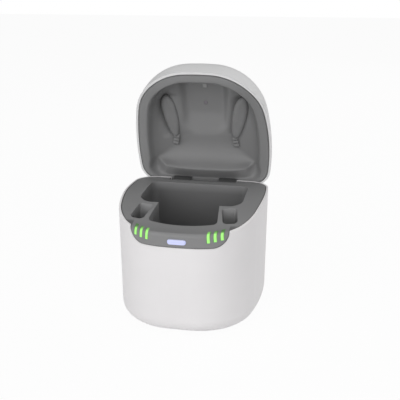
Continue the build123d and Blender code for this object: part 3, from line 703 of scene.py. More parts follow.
# ---------------------------------------------------------------- carried-over nodes
@dataclass
class InnerWorks:
    """The nodes whose solids already have the right shape, each with its own finish."""

    wardrobe: Wardrobe

    def finish_of(self, node: str) -> Finish:
        """Finds a node's finish from its name.

        Args:
            node: the node's name.

        Returns:
            The finish.
        """
        table = {
            "outer_housing": Finish.POT,
            "lid_cover": Finish.DOME,
            "inner_tray": Finish.TRAY,
            "lid_liner": Finish.LINER,
            "base_cover": Finish.BASE,
            "foot_pad": Finish.FOOT,
            "aid_pad": Finish.PAD,
            "power_button": Finish.BUTTON,
            "light_guide": Finish.BAR,
            "status_leds": Finish.LED,
            "lamp_window": Finish.WINDOW,
            "lamp_board": Finish.BOARD,
            "lamp": Finish.LAMP,
            "lid_magnet": Finish.CAP,
            "chamber_grille": Finish.GRILLE,
            "fan_screws": Finish.STEEL,
            "fan": Finish.FAN,
            "heater_frame": Finish.HEATER,
            "heater_fins": Finish.FIN,
            "front_board_screws": Finish.STEEL,
            "board_screws": Finish.STEEL,
            "base_screws": Finish.STEEL,
            "front_board": Finish.BOARD,
            "main_board": Finish.BOARD,
            "charging_coil": Finish.COIL,
            "hinge_pin": Finish.PIN,
            "hinge_washers": Finish.WASHER,
            "inlet_socket": Finish.SOCKET,
        }
        for start, finish in table.items():
            if node.startswith(start):
                return finish
        return Finish.CHIP

    def dress(self) -> None:
        """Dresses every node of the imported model."""
        for name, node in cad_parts.items():
            self.wardrobe.dress(node, self.finish_of(name))
            log.info("node %s wears %s", name, self.finish_of(name).name)


# ---------------------------------------------------------------- shared geometry
@dataclass(frozen=True)
class PotOutline:
    """The pot's outline seen from above, in millimetres: four arcs with rounded corners."""

    half_width: float = 41.3
    front_reach: float = 52.6
    rear_reach: float = 25.4
    front_bow: float = 137.0
    side_bow: float = 130.0
    rear_bow: float = 395.0
    front_corner: float = 33.0
    rear_corner: float = 12.0

    @staticmethod
    def _meet(first: Point, reach: float, second: Point, other: float, front: bool) -> Point:
        """Finds where two circles meet to the right of the middle.

        Args:
            first: the first circle's centre.
            reach: the first circle's radius.
            second: the second circle's centre.
            other: the second circle's radius.
            front: whether the front or the rear meeting point is wanted.

        Returns:
            The meeting point.
        """
        gap = math.dist(first, second)
        along = (reach**2 - other**2 + gap**2) / (2 * gap)
        aside = math.sqrt(reach**2 - along**2)
        ux, uy = (second[0] - first[0]) / gap, (second[1] - first[1]) / gap
        middle = (first[0] + ux * along, first[1] + uy * along)
        found = [(middle[0] - way * uy * aside, middle[1] + way * ux * aside) for way in (-1, 1)]
        found.sort(key=lambda point: point[1])
        return found[0] if front else found[1]

    def points(self, inset: float, steps: int = 90) -> np.ndarray:
        """Gives the outline kept parallel at an inset, anticlockwise from the front.

        Args:
            inset: how far inside the pot's outline it runs.
            steps: points on each arc.

        Returns:
            The points, as rows of x and y.
        """
        front = (0.0, self.front_bow - self.front_reach)
        side = (self.half_width - self.side_bow, 0.0)
        rear = (0.0, self.rear_reach - self.rear_bow)
        near, far = self.front_corner, self.rear_corner
        near_middle = self._meet(front, self.front_bow - near, side, self.side_bow - near, True)
        far_middle = self._meet(rear, self.rear_bow - far, side, self.side_bow - far, False)

        def heading(start: Point, end: Point) -> float:
            """Gives the direction from one point to another."""
            return math.atan2(end[1] - start[1], end[0] - start[0])

        arcs = (
            (front, self.front_bow, -math.pi / 2, heading(front, near_middle)),
            (near_middle, near, heading(front, near_middle), heading(side, near_middle)),
            (side, self.side_bow, heading(side, near_middle), heading(side, far_middle)),
            (far_middle, far, heading(side, far_middle), heading(rear, far_middle)),
            (rear, self.rear_bow, heading(rear, far_middle), math.pi / 2),
        )
        right = []
        for (x, y), radius, start, end in arcs:
            turn = np.linspace(start, end, steps)
            reach = radius - inset
            right.append(np.column_stack([x + reach * np.cos(turn), y + reach * np.sin(turn)]))
        half = np.vstack(right)
        other = half[::-1] * np.array([-1.0, 1.0])
        return np.vstack([half, other])

    def reach_from(self, inset: float, centre: float, angles: np.ndarray) -> np.ndarray:
        """Gives the distance from a point on the middle line to the outline.

        Args:
            inset: the outline's inset.
            centre: the point's y.
            angles: the directions asked for, in radians.

        Returns:
            One distance for each direction.
        """
        ring = self.points(inset)
        away = ring - np.array([0.0, centre])
        turn = np.arctan2(away[:, 1], away[:, 0])
        order = np.argsort(turn)
        reach = np.hypot(away[:, 0], away[:, 1])
        return np.interp(angles, turn[order], reach[order], period=2 * math.pi)


@dataclass(frozen=True)
class RimCurve:
    """The rim seen from the side: level, falling in an arc, then level again at the front."""

    height: float = 67.4
    slope: float = 17.8
    fall_run: float = 38.0
    turn_run: float = 12.0

    def drop(self, y: np.ndarray) -> np.ndarray:
        """Gives the rim's height below its level rear part, as a negative number.

        Args:
            y: the places asked for, in millimetres.

        Returns:
            One height for each place.
        """
        slope = math.radians(self.slope)
        fall, turn = self.fall_run / math.sin(slope), self.turn_run / math.sin(slope)
        top = -fall + (fall + turn) * math.cos(slope)
        end = self.fall_run + self.turn_run
        falling = -fall + np.sqrt(fall**2 - np.clip(y, -self.fall_run, 0.0) ** 2)
        turning = top - np.sqrt(turn**2 - np.clip(y + end, 0.0, self.turn_run) ** 2)
        return np.where(y > -self.fall_run, falling, turning)


@dataclass(frozen=True)
class LidSwing:
    """The hinge line and how far the lid stands open."""

    y: float = 23.2
    z: float = 62.6
    angle: float = 75.0

    def opened(self, points: np.ndarray) -> np.ndarray:
        """Swings points of the shut lid to its open place.

        Args:
            points: rows of x, y and z in millimetres.

        Returns:
            The same rows in metres, as the lid stands open.
        """
        turn = math.radians(-self.angle)
        y, z = points[:, 1] - self.y, points[:, 2] - self.z
        opened = points.astype(float).copy()
        opened[:, 1] = self.y + math.cos(turn) * y - math.sin(turn) * z
        opened[:, 2] = self.z + math.sin(turn) * y + math.cos(turn) * z
        return opened * MM


def soften(field: np.ndarray, spread: float) -> np.ndarray:
    """Smooths a height field with a bell curve along both of its axes.

    Args:
        field: the heights on an even grid.
        spread: the bell curve's width, in cells.

    Returns:
        The smoothed field.
    """
    reach = int(3 * spread) + 1
    weights = np.exp(-0.5 * (np.arange(-reach, reach + 1) / spread) ** 2)
    weights /= weights.sum()
    for axis in (0, 1):
        pad = [(reach, reach) if axis == other else (0, 0) for other in (0, 1)]
        grown = np.pad(field, pad, mode="edge")
        rows = [
            weight * np.take(grown, range(step, step + field.shape[axis]), axis=axis)
            for step, weight in enumerate(weights)
        ]
        field = np.sum(rows, axis=0)
    return field


def make_piece(name: str, points: np.ndarray, faces: list[tuple[int, ...]]) -> bpy.types.Object:
    """Makes a smooth, closed mesh object from points in metres and faces.

    Args:
        name: the piece's name.
        points: rows of x, y and z.
        faces: tuples of point numbers.

    Returns:
        The object, in the scene.
    """
    mesh = bpy.data.meshes.new(name)
    mesh.from_pydata([tuple(map(float, point)) for point in points], [], faces)
    mesh.polygons.foreach_set("use_smooth", [True] * len(mesh.polygons))
    mesh.update()
    piece = bpy.data.objects.new(name, mesh)
    bpy.context.scene.collection.objects.link(piece)
    form = bmesh.new()
    form.from_mesh(mesh)
    bmesh.ops.remove_doubles(form, verts=form.verts, dist=0.01 * MM)
    bmesh.ops.recalc_face_normals(form, faces=form.faces)
    form.to_mesh(mesh)
    form.free()
    return piece


def ring_faces(rings: int, around: int, flip: bool = False) -> list[tuple[int, ...]]:
    """Joins closed rings of points with four-sided faces.

    Args:
        rings: how many rings there are.
        around: points on each ring.
        flip: whether the faces look the other way.

    Returns:
        The faces.
    """
    faces = []
    for ring in range(rings - 1):
        for step in range(around):
            after = (step + 1) % around
            low, high = ring * around, (ring + 1) * around
            face = (low + step, low + after, high + after, high + step)
            faces.append(face[::-1] if flip else face)
    return faces


# ---------------------------------------------------------------- pads over the aids
@dataclass(frozen=True)
class LeafPad:
    """One leaf-shaped rubber pad on its stepped stem, in millimetres over the shut lid's rim."""

    side: int
    wardrobe: Wardrobe | None = None
    swing: LidSwing = LidSwing()
    rim: RimCurve = RimCurve()
    front: Point = (23.5, -30.3)
    rear: Point = (18.1, -3.3)
    width: float = 8.6
    widest: float = 0.4
    low: float = 7.6
    crown: float = 2.0
    top: float = 12.6
    stem_turn: float = -10.0
    stem_half: float = 1.8
    stem_start: float = -1.2
    stem_end: float = 6.0
    stem_low: float = 9.2
    stem_ease: float = 0.35
    stem_corner: float = 0.5
    corner_cut: float = 0.15
    step_height: float = 0.6
    step_half: float = 0.65
    step_ease: float = 0.2
    blunt: float = 2.6
    slim: float = 0.45
    tail: float = 12.0
    wall_share: float = 0.95
    crown_share: float = 0.97
    gather: float = 0.28
    reaches: tuple[float, ...] = (0.985, 0.95, 0.89, 0.8, 0.68, 0.54, 0.38, 0.2, 0.0)
    stem_end_share: float = 0.8
    step_places: tuple[float, ...] = (0.2, 2.4, 4.6)

    def across(self, share: np.ndarray) -> np.ndarray:
        """Gives half the leaf's width at shares of its length, from the front.

        Args:
            share: shares of the length, 0 at the front and 1 at the rear.

        Returns:
            One half width for each share.
        """
        front = np.clip(share / self.widest, 0.0, 1.0)
        rear = np.clip((1.0 - share) / (1.0 - self.widest), 0.0, 1.0)
        blunt = np.clip(1.0 - (1.0 - front) ** self.blunt, 0.0, 1.0) ** 0.5
        slim = self.slim + (1.0 - self.slim) * np.sin(rear * math.pi / 2)
        close = np.sqrt(np.clip(rear * (1.0 - self.widest) * self.tail, 0.0, 1.0))
        return self.width / 2 * np.where(share < self.widest, blunt, slim * close)

    def frame(self) -> tuple[np.ndarray, np.ndarray, np.ndarray, float]:
        """Gives the front end, the ways along and across, and the length.

        Returns:
            The front end, the two unit ways and the length in millimetres.
        """
        front = np.array([self.side * self.front[0], self.front[1]])
        rear = np.array([self.side * self.rear[0], self.rear[1]])
        length = float(np.hypot(*(rear - front)))
        along = (rear - front) / length
        return front, along, np.array([-along[1], along[0]]), length

    def outside(self, x: np.ndarray, y: np.ndarray) -> np.ndarray:
        """Gives roughly how far points lie outside the leaf, below zero inside it.

        Args:
            x: the points' x, in millimetres.
            y: the points' y, in millimetres.

        Returns:
            One distance for each point.
        """
        front, along, across, length = self.frame()
        px, py = x - front[0], y - front[1]
        share = (px * along[0] + py * along[1]) / length
        aside = np.abs(px * across[0] + py * across[1])
        half = self.across(np.clip(share, 0.0, 1.0))
        past = np.maximum(np.maximum(-share, share - 1.0), 0.0) * length
        away = np.hypot(np.maximum(aside - half, 0.0), past)
        return away - np.where((past <= 0) & (aside < half), half - aside, 0.0)

    def middle_line(self, y: np.ndarray) -> np.ndarray:
        """Gives the x of the leaf's middle line at each y."""
        share = (y - self.front[1]) / (self.rear[1] - self.front[1])
        return self.side * (self.front[0] + (self.rear[0] - self.front[0]) * share)

    def leaf_rows(self) -> Rows:
        """Lays closed rings over the leaf, from its hidden top edge to its crowned middle.

        Returns:
            The rings and how many points each has.
        """
        front, along, across, length = self.frame()
        shares = 0.5 - 0.5 * np.cos(np.linspace(0.0, math.pi, 41))
        half = self.across(shares)
        lines = np.concatenate([shares, shares[-2:0:-1]])
        aside = np.concatenate([half, -half[-2:0:-1]])
        rings = [(1.0, self.top), (1.0, self.low + self.crown * self.wall_share)]
        for reach in self.reaches:
            fall = math.sqrt(1.0 - self.crown_share * reach**3)
            rings.append((reach, self.low + self.crown * (1.0 - fall)))
        rows = []
        for reach, level in rings:
            middle = 0.5 + (lines - 0.5) * (1.0 - self.gather + self.gather * reach)
            flat = front + np.outer(middle * length, along) + np.outer(aside * reach, across)
            rows.append(np.column_stack([flat, np.full(len(flat), self.rim.height + level)]))
        return rows, len(lines)

    def stem_rows(self) -> Rows:
        """Lays rings across the stem, with a raised bar at each step.

        Returns:
            The rings and how many points each has.
        """
        turn = math.radians(self.side * self.stem_turn)
        along = np.array([-math.sin(turn), math.cos(turn)])
        across = np.array([along[1], -along[0]])
        start = np.array([self.side * self.rear[0], self.rear[1]])
        corner, cut, narrow = self.stem_corner, self.corner_cut, self.stem_end_share
        stations = [(self.stem_start, narrow, corner)]
        stations.append((self.stem_start + self.stem_ease, 1.0, 0.0))
        for place in self.step_places:
            outer, inner = self.step_half + self.step_ease, self.step_half
            for shift in (-outer, -inner, inner, outer):
                rise = -self.step_height if abs(shift) == inner else 0.0
                stations.append((place + shift, 1.0, rise))
        stations += [(self.stem_end - self.stem_ease, 1.0, 0.0), (self.stem_end, narrow, corner)]
        rows = []
        for place, share, rise in stations:
            half, low = self.stem_half * share, self.stem_low + rise
            edge = [(half - corner, low), (half - cut, low + cut), (half, low + corner)]
            edge.append((half, self.top))
            ring = [(-offset, level) for offset, level in edge[::-1]] + edge
            row = []
            for offset, level in ring:
                flat = start + along * place + across * offset
                row.append((flat[0], flat[1], self.rim.height + level))
            rows.append(np.array(row))
        return rows, 8

    def build(self) -> None:
        """Builds the pad with its stem and dresses it."""
        word = "left" if self.side < 0 else "right"
        leaf, around = self.leaf_rows()
        stem, corners = self.stem_rows()
        faces = ring_faces(len(leaf), around)
        offset = len(leaf) * around
        for face in ring_faces(len(stem), corners):
            faces.append(tuple(point + offset for point in face))
        last = offset + (len(stem) - 1) * corners
        faces.append(tuple(range(offset, offset + corners)))
        faces.append(tuple(range(last, last + corners)))
        faces.append(tuple(range(around)))
        points = self.swing.opened(np.vstack(leaf + stem))
        pad = make_piece(f"rubber_pad_{word}", points, faces)
        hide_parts(f"aid_pad_{word}")
        self.wardrobe.dress(pad, Finish.PAD)
        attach(pad, "lid")
        log.info("built %s", pad.name)


# ---------------------------------------------------------------- lid liner
@dataclass
class LidLiner:
    """The grey moulding in the lid: flat border, domed recess, channel, ledge and knuckles."""

    wardrobe: Wardrobe
    outline: PotOutline = PotOutline()
    rim: RimCurve = RimCurve()
    swing: LidSwing = LidSwing()
    edge_inset: float = 1.85
    lip_cover: float = 0.5
    lip_level: float = 0.49
    border_level: float = 0.42
    border_thickness: float = 1.6
    recess_inset: float = 7.9
    rear_inset: float = 3.3
    recess_height: float = 11.5
    recess_power: float = 2.5
    centre: float = -10.0
    channel_half: float = 12.8
    channel_front: float = -43.0
    channel_rear: float = -17.6
    channel_end: float = -4.2
    channel_bow: float = 14.6
    channel_top: float = 14.8
    channel_round: float = 3.0
    ledge_start: float = -1.0
    ledge_edge: float = 14.6
    ledge_rear: float = 15.1
    ledge_low: float = 1.6
    ledge_bow: float = 115.0
    ledge_round: float = 26.5
    ledge_corner: float = 4.0
    ledge_blend: float = 0.7
    relief_slope: float = 0.25
    relief_deep: float = 5.2
    relief_half: float = 31.0
    relief_inset: float = 2.9
    relief_side_fade: float = 6.0
    relief_wall_fade: float = 0.6
    groove: float = 2.6
    shallow: float = 0.1
    groove_fade: float = 3.2
    groove_power: float = 1.3
    groove_close: float = 8.0
    spread: float = 0.6
    channel_spread: float = 1.4
    rear_turn: float = 0.5
    rear_turn_fade: float = 0.22
    ledge_ease: float = 7.0
    least_ease: float = 0.02
    shaded_past: float = 0.8
    cell: float = 0.25
    grid_side: float = 46.0
    grid_front: float = -58.0
    grid_rear: float = 32.0
    around: int = 400
    row_reach: float = 41.0
    fine_rows: tuple[float, float, float] = (0.3, 11.0, 0.38)
    wide_rows: tuple[float, float, float] = (11.0, 30.0, 0.6)
    inner_shares: tuple[float, float, int] = (0.255, 0.004, 14)
    edge_drop: float = 0.04
    knuckle_radius: float = 3.6
    knuckle_start: float = 8.65
    knuckle_end: float = 19.95
    knuckle_edge: float = 0.25
    knuckle_tight: float = 0.93
    neck_front: float = 2.4
    neck_rear: float = 2.1
    neck_low: float = 2.5
    neck_top: float = 7.5

    def _channel(self, x: np.ndarray, y: np.ndarray) -> np.ndarray:
        """Gives the channel's height at points, and nothing outside it.

        Args:
            x: the points' x, in millimetres.
            y: the points' y, in millimetres.

        Returns:
            One height above the rim for each point.
        """
        ramp = np.clip((y - self.channel_rear) / (self.channel_end - self.channel_rear), 0.0, 1.0)
        level = self.channel_top + (self.recess_height - self.channel_top) * ramp
        round_x = np.maximum(np.abs(x) - self.channel_half + self.channel_round, 0.0)
        round_y = np.maximum(self.channel_front + self.channel_round - y, 0.0)
        inside = (np.hypot(round_x, round_y) < self.channel_round) & (np.abs(x) < self.channel_half)
        middle = self.channel_end - self.channel_bow
        bowed = (y < middle) | (np.hypot(x, y - middle) < self.channel_bow)
        return np.where(inside & bowed & (y > self.channel_front), level, -99.0)

    def _ledge(self, x: np.ndarray, y: np.ndarray) -> np.ndarray:
        """Gives the ledge's height at points, and a very high one outside it.

        Args:
            x: the points' x, in millimetres.
            y: the points' y, in millimetres.

        Returns:
            One height above the rim for each point.
        """
        run, fall = self.ledge_edge - self.ledge_start, self.recess_height - self.ledge_low
        bend = (run**2 + fall**2) / (2 * fall)
        bulge = self.recess_height - bend
        bulge = bulge + np.sqrt(np.maximum(bend**2 - (y - self.ledge_start) ** 2, 0.0))
        level = np.where(y < self.ledge_edge, bulge, self.ledge_low)
        level = np.maximum(level, self.ledge_low)
        return np.where((y > self.ledge_start) & (y < self._ledge_end(x)), level, 99.0)

    def _ledge_end(self, x: np.ndarray) -> np.ndarray:
        """Gives the y at which the ledge stops.

        Args:
            x: the points' x, in millimetres.

        Returns:
            One y for each point.
        """
        corner = np.clip((np.abs(x) - self.ledge_round) / self.ledge_corner, 0.0, 1.0)
        bow = self.ledge_rear - self.ledge_bow + np.sqrt(self.ledge_bow**2 - x**2)
        return bow - self.ledge_corner * (1.0 - np.sqrt(1.0 - corner**2))

    def _relieve(self, x: np.ndarray, y: np.ndarray, field: np.ndarray) -> np.ndarray:
        """Slopes the rear border away behind the ledge, so that it clears the tray's edge.

        Args:
            x: the points' x, in millimetres.
            y: the points' y, in millimetres.
            field: the heights to change.

        Returns:
            The changed heights.
        """
        past = y - self._ledge_end(x)
        slope = np.minimum(self.ledge_low + self.relief_slope * past, self.relief_deep)
        share = np.clip((self.relief_half - np.abs(x)) / self.relief_side_fade, 0.0, 1.0)
        wall = self.outline.rear_reach - self.relief_inset - x**2 / (2 * self.outline.rear_bow)
        share = share * np.clip((wall - y) / self.relief_wall_fade, 0.0, 1.0)
        return np.where(past > 0, field + (slope - field) * share, field)

    def heights(self) -> tuple[np.ndarray, np.ndarray, np.ndarray]:
        """Works out the moulding's visible face on an even grid.

        Returns:
            The grid's x and y lines and the height above the rim at each crossing.
        """
        xs = np.arange(-self.grid_side, self.grid_side + self.cell, self.cell)
        ys = np.arange(self.grid_front, self.grid_rear + self.cell, self.cell)
        x, y = np.meshgrid(xs, ys, indexing="ij")
        turn = np.arctan2(y - self.centre, x)
        sides = self.outline.reach_from(self.recess_inset, self.centre, turn.ravel())
        rear = self.outline.reach_from(self.rear_inset, self.centre, turn.ravel())
        toward = (np.sin(turn.ravel()) - self.rear_turn) / self.rear_turn_fade
        reach = sides + (rear - sides) * np.clip(toward, 0.0, 1.0)
        share = np.hypot(x, y - self.centre) / reach.reshape(x.shape)
        power = self.recess_power
        dome = self.recess_height * (1 - np.minimum(share, 1.0) ** power) ** (1 / power)
        border = self.rim.drop(y) + self.border_level
        field = np.where(share < 1.0, dome, border)
        rise = np.where(share < 1.0, np.maximum(self._channel(x, y) - dome, 0.0), 0.0)
        field = field + soften(rise, self.channel_spread / self.cell)
        gap = field - self._ledge(x, y)
        run = (y - self.ledge_start) / self.ledge_ease
        ease = self.ledge_blend * np.clip(run, self.least_ease, 1.0)
        eased = field - ease * np.logaddexp(0.0, gap / ease)
        field = np.where(share < 1.0, eased, field)
        field = self._relieve(x, y, field)
        for side in (-1, 1):
            pad = LeafPad(side)
            away = np.maximum(pad.outside(x, y), 0.0)
            shaded = (x < pad.middle_line(y)) | (y < pad.front[1] + self.shaded_past)
            deep = soften(np.where(shaded, 1.0, self.shallow), 1.0 / self.cell)
            base = pad.low + pad.crown + self.groove * deep
            near = np.exp(-((away / self.groove_fade) ** self.groove_power))
            near = near * np.clip((1.0 - share) * self.groove_close, 0.0, 1.0)
            field = field + (base - field) * near
        return xs, ys, soften(field, self.spread / self.cell)

    def _level(self, grid: tuple[np.ndarray, np.ndarray, np.ndarray], at: np.ndarray) -> np.ndarray:
        """Reads the height field between its grid lines.

        Args:
            grid: what heights() gives.
            at: rows of x and y.

        Returns:
            One height for each row.
        """
        xs, ys, field = grid
        u = (at[:, 0] - xs[0]) / self.cell
        v = (at[:, 1] - ys[0]) / self.cell
        i = np.clip(u.astype(int), 0, len(xs) - 2)
        j = np.clip(v.astype(int), 0, len(ys) - 2)
        a, b = u - i, v - j
        near = field[i, j] * (1 - a) + field[i + 1, j] * a
        far = field[i, j + 1] * (1 - a) + field[i + 1, j + 1] * a
        return near * (1 - b) + far * b

    def build_moulding(self) -> bpy.types.Object:
        """Builds the moulding: its hidden back, its edge over the lip, and its visible face.

        Returns:
            The moulding.
        """
        grid = self.heights()
        angles = np.linspace(-math.pi, math.pi, self.around, endpoint=False)
        reach = self.outline.reach_from(self.edge_inset, self.centre, angles)
        ways = np.column_stack([np.cos(angles), np.sin(angles)])
        middle = np.array([0.0, self.centre])
        steps = np.concatenate([np.arange(*self.fine_rows), np.arange(*self.wide_rows)])
        inner = np.linspace(*self.inner_shares)
        shares = np.concatenate([1.0 - steps / self.row_reach, inner])
        rows = []
        hidden = steps[0] + self.lip_cover < self.row_reach * (1.0 - shares)
        for share in shares[hidden][::-1]:
            flat = middle + ways * (reach * share)[:, None]
            level = self._level(grid, flat) + self.border_thickness
            rows.append(np.column_stack([flat, level]))
        lip = self.lip_level - self.border_level
        edge = ((self.lip_cover, self.border_thickness), (self.lip_cover, lip), (0.0, lip))
        for inset, rise in (*edge, (self.edge_drop, 0.0)):
            flat = middle + ways * (reach - inset)[:, None]
            level = self.rim.drop(flat[:, 1]) + self.border_level + rise
            rows.append(np.column_stack([flat, level]))
        for share in shares:
            flat = middle + ways * (reach * share)[:, None]
            rows.append(np.column_stack([flat, self._level(grid, flat)]))
        points = np.vstack(rows)
        points[:, 2] += self.rim.height
        faces = ring_faces(len(rows), self.around)
        last = (len(rows) - 1) * self.around
        faces.append(tuple(range(last, last + self.around)))
        faces.append(tuple(range(self.around))[::-1])
        return make_piece("liner_moulding", self.swing.opened(points), faces)

    def build_knuckle(self, side: int) -> bpy.types.Object:
        """Builds one hinge knuckle with the neck that joins it to the border.

        Args:
            side: -1 for the left knuckle and 1 for the right one.

        Returns:
            The knuckle.
        """
        radius, front, rear = self.knuckle_radius, self.neck_front, self.neck_rear
        start = math.pi - math.asin(math.sqrt(radius**2 - front**2) / radius)
        end = 2 * math.pi + math.asin(math.sqrt(radius**2 - rear**2) / radius)
        turns = np.linspace(start, end, 40)
        ring = [(radius * math.cos(turn), radius * math.sin(turn)) for turn in turns]
        ring = [(-front, self.neck_top), *ring, (rear, self.neck_top)]
        inner, outer, edge = self.knuckle_start, self.knuckle_end, self.knuckle_edge
        ends = (inner, inner + edge, outer - edge, outer)
        tight = (self.knuckle_tight, 1.0, 1.0, self.knuckle_tight)
        rows = []
        for end_x, share in zip(ends, tight):
            for y, z in ring:
                low = z * share if z < self.neck_low else z
                rows.append((side * end_x, self.swing.y + y * share, self.swing.z + low))
        count = len(ring)
        faces = ring_faces(len(ends), count, flip=side > 0)
        faces.append(tuple(range(count)) if side < 0 else tuple(range(count))[::-1])
        last = (len(ends) - 1) * count
        tail = tuple(range(last, last + count))
        faces.append(tail[::-1] if side < 0 else tail)
        word = "left" if side < 0 else "right"
        piece = make_piece(f"lid_knuckle_{word}", self.swing.opened(np.array(rows)), faces)
        for face in piece.data.polygons[-2:]:
            face.use_smooth = False
        return piece

    def build(self) -> None:
        """Builds and dresses the moulding and both knuckles."""
        moulding = self.build_moulding()
        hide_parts("lid_liner")
        for piece in (moulding, self.build_knuckle(-1), self.build_knuckle(1)):
            self.wardrobe.dress(piece, Finish.LINER)
            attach(piece, "lid")
            log.info("built %s", piece.name)


# ---------------------------------------------------------------- dark beads standing in for the shadow along the seams
@dataclass(frozen=True)
class ShadowBead:
    """A thin dark bead along the seam between a grey moulding and its white shell, standing in for
    the shadow in the gap.
    """

    name: str
    inset: float
    level: float
    height: float
    body: str
    wardrobe: Wardrobe
    width: float = 0.3
    shoulder: float = 0.6
    notch_half: float = 20.7
    fascia_half: float = 26.8
    outline: PotOutline = PotOutline()
    rim: RimCurve = RimCurve()
    swing: LidSwing = LidSwing()

    def right_run(self) -> np.ndarray:
        """Gives the bead's middle line on the right side, from the front to the hinge.

        Returns:
            Rows of x and y.
        """
        path = self.outline.points(self.inset, 60)
        path = path[: len(path) // 2]
        return path[(path[:, 1] < 0.0) | (path[:, 0] > self.notch_half)]

    def runs(self) -> list[tuple[str, np.ndarray]]:
        """Gives each length of the bead by its name.

        Returns:
            Pairs of a piece's name and its middle line.
        """
        right = self.right_run()
        mirror = np.array([-1.0, 1.0])
        if self.body == "lid":
            return [(self.name, np.vstack([(right * mirror)[::-1], right[1:]]))]
        right = right[right[:, 0] > self.fascia_half]
        return [(f"{self.name}_left", right * mirror), (f"{self.name}_right", right)]

    def rings(self, path: np.ndarray) -> np.ndarray:
        """Lays the bead's section along a path.

        Args:
            path: rows of x and y.

        Returns:
            Rows of x, y and z, six for each point of the path.
        """
        along = np.gradient(path, axis=0)
        along /= np.hypot(along[:, 0], along[:, 1])[:, None]
        across = np.column_stack([along[:, 1], -along[:, 0]])
        half = self.width / 2
        left = ((-half, 0.0), (-half, self.shoulder), (-half / 2, 1.0))
        section = left + tuple((-offset, share) for offset, share in left[::-1])
        rows = []
        for offset, share in section:
            flat = path + across * offset
            z = self.rim.height + self.rim.drop(path[:, 1]) + self.level + self.height * share
            rows.append(np.column_stack([flat, z]))
        return np.stack(rows, axis=1).reshape(-1, 3)

    def build(self) -> None:
        """Builds and dresses every length of the bead."""
        for name, path in self.runs():
            points = self.rings(path)
            faces = ring_faces(len(path), 6)
            faces += [tuple(range(6)), tuple(range(len(points) - 6, len(points)))]
            points = self.swing.opened(points) if self.body == "lid" else points * MM
            bead = make_piece(name, points, faces)
            self.wardrobe.dress(bead, Finish.SEAM_SHADOW)
            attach(bead, self.body)
            log.info("built %s", name)


# ---------------------------------------------------------------- studio
@dataclass(frozen=True)
class Softbox:
    """One large soft lamp, aimed at a point."""

    name: str
    place: Spot
    aim: Spot
    width: float
    height: float
    power: float

    def build(self) -> None:
        """Adds the lamp."""
        lamp = bpy.data.lights.new(self.name, "AREA")
        lamp.shape = "RECTANGLE"
        lamp.size, lamp.size_y = self.width, self.height
        lamp.energy = self.power
        holder = bpy.data.objects.new(self.name, lamp)
        holder.location = self.place
        way = Vector(self.aim) - Vector(self.place)
        holder.rotation_euler = way.to_track_quat("-Z", "Y").to_euler()
        bpy.context.scene.collection.objects.link(holder)


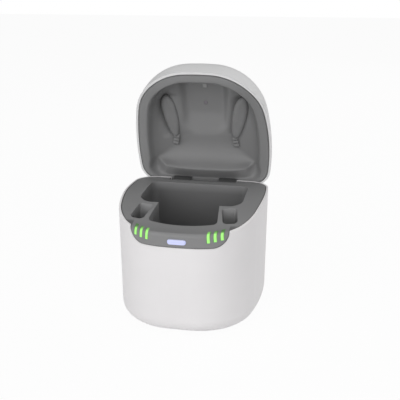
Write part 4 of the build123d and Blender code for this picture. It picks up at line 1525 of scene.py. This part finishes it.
@dataclass
class Studio:
    """Floor, world, lamps and camera."""

    lens: float = 63.0
    azimuth: float = 11.02
    elevation: float = 17.83
    camera_place: Spot = (0.07628, -0.3815, 0.18634)
    shift: float = 0.0012
    ambient: float = 0.2
    floor_reach: float = 3.0
    floor_colour: Colour = (0.85, 0.85, 0.85)
    floor_white: float = 0.955
    middle: Spot = (0.0, -0.01, 0.06)
    lamp_away: float = 1.1
    lamp_width: float = 0.9
    lamp_height: float = 0.8
    lamps: tuple[tuple[str, float, float, float], ...] = (
        ("front_left", -33.0, 20.0, 5.0),
        ("front", 20.0, 20.0, 2.5),
        ("right", 50.0, 20.0, 1.2),
        ("edge", 118.0, 18.0, 1.6),
        ("rear", 150.0, 25.0, 1.3),
        ("top", 0.0, 85.0, 3.15),
    )

    def lit_shader(self, shop: Workshop, colour: Colour, share: float) -> Signal:
        """Mixes a plain surface with an even white that only eyes and reflections see.

        Args:
            shop: the material.
            colour: the plain surface's colour.
            share: how much of the even white is seen.

        Returns:
            The mixed shader.
        """
        path = shop.node("ShaderNodeLightPath", output="Is Camera Ray")
        glossy = Signal(shop, path.socket.node.outputs["Is Glossy Ray"])
        through = Signal(shop, path.socket.node.outputs["Is Transmission Ray"])
        seen = (path + glossy + through).clamped() * share
        plain = shop.node("ShaderNodeBsdfDiffuse", {}, {"Color": (*colour, 1.0)})
        white = shop.node("ShaderNodeEmission", {}, {"Color": (1, 1, 1, 1), "Strength": 1.0})
        return shop.node("ShaderNodeMixShader", {}, {0: seen, 1: plain, 2: white})

    def build_floor(self) -> None:
        """Adds the pale floor."""
        sheet = bpy.data.meshes.new("floor")
        reach = self.floor_reach
        corners = [(-reach, -reach, 0), (reach, -reach, 0), (reach, reach, 0), (-reach, reach, 0)]
        sheet.from_pydata(corners, [], [(0, 1, 2, 3)])
        floor = bpy.data.objects.new("floor", sheet)
        bpy.context.scene.collection.objects.link(floor)
        shop = Workshop("floor_white")
        shop.finish(self.lit_shader(shop, self.floor_colour, self.floor_white))
        sheet.materials.append(shop.material)
        floor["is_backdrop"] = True

    def build_world(self) -> None:
        """Sets an even white surround."""
        world = bpy.data.worlds.new("surround")
        bpy.context.scene.world = world
        world.use_nodes = True
        tree = world.node_tree
        tree.nodes.clear()
        path = tree.nodes.new("ShaderNodeLightPath")
        mix = tree.nodes.new("ShaderNodeMixShader")
        tree.links.new(path.outputs["Is Camera Ray"], mix.inputs[0])
        for place, strength in ((1, self.ambient), (2, 1.0)):
            light = tree.nodes.new("ShaderNodeBackground")
            light.inputs["Color"].default_value = (1.0, 1.0, 1.0, 1.0)
            light.inputs["Strength"].default_value = strength
            tree.links.new(light.outputs[0], mix.inputs[place])
        end = tree.nodes.new("ShaderNodeOutputWorld")
        tree.links.new(mix.outputs[0], end.inputs["Surface"])

    def build_lamps(self) -> None:
        """Adds the soft lamps."""
        middle = Vector(self.middle)
        for name, azimuth, elevation, power in self.lamps:
            turn, rise = math.radians(azimuth), math.radians(elevation)
            level = math.cos(rise)
            way = Vector((level * math.sin(turn), -level * math.cos(turn), math.sin(rise)))
            place = tuple(middle + way * self.lamp_away)
            size = (self.lamp_width, self.lamp_height)
            Softbox(name, place, self.middle, *size, power).build()

    def build_camera(self) -> None:
        """Adds the camera and makes it the scene's own."""
        lens = bpy.data.cameras.new("camera")
        lens.lens = self.lens
        lens.sensor_width = 36.0
        lens.shift_x = self.shift
        lens.clip_start = 0.01
        camera = bpy.data.objects.new("camera", lens)
        camera.location = self.camera_place
        tilt = math.radians(90.0 - self.elevation)
        camera.rotation_euler = (tilt, 0.0, math.radians(self.azimuth))
        bpy.context.scene.collection.objects.link(camera)
        bpy.context.scene.camera = camera

    def build(self) -> None:
        """Builds the whole studio."""
        self.build_floor()
        self.build_world()
        self.build_lamps()
        self.build_camera()
        bpy.context.scene.view_settings.view_transform = "Standard"


def write_sizes() -> None:
    """Gathers the solids' box and the dressed model's box into a dictionary that is not kept."""
    boxes = [[list(corner) for corner in pair] for pair in (cad_bounds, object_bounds())]
    {"cad": boxes[0], "visual": boxes[1]}


def main() -> None:
    """Builds the dryer's pieces in order, then the studio."""
    logging.basicConfig(level=logging.INFO)
    wardrobe = Wardrobe()
    InnerWorks(wardrobe).dress()
    LidLiner(wardrobe).build()
    for side in (-1, 1):
        LeafPad(side, wardrobe).build()
    # dark beads standing in for the shadow in the seams round the liner and the tray
    ShadowBead("liner_shadow_bead", 1.65, 0.49, -0.09, "lid", wardrobe).build()
    ShadowBead("tray_shadow_bead", 1.5, -0.2, 0.06, "body", wardrobe).build()
    Studio().build()
    write_sizes()


if __name__ == "__main__":
    main()
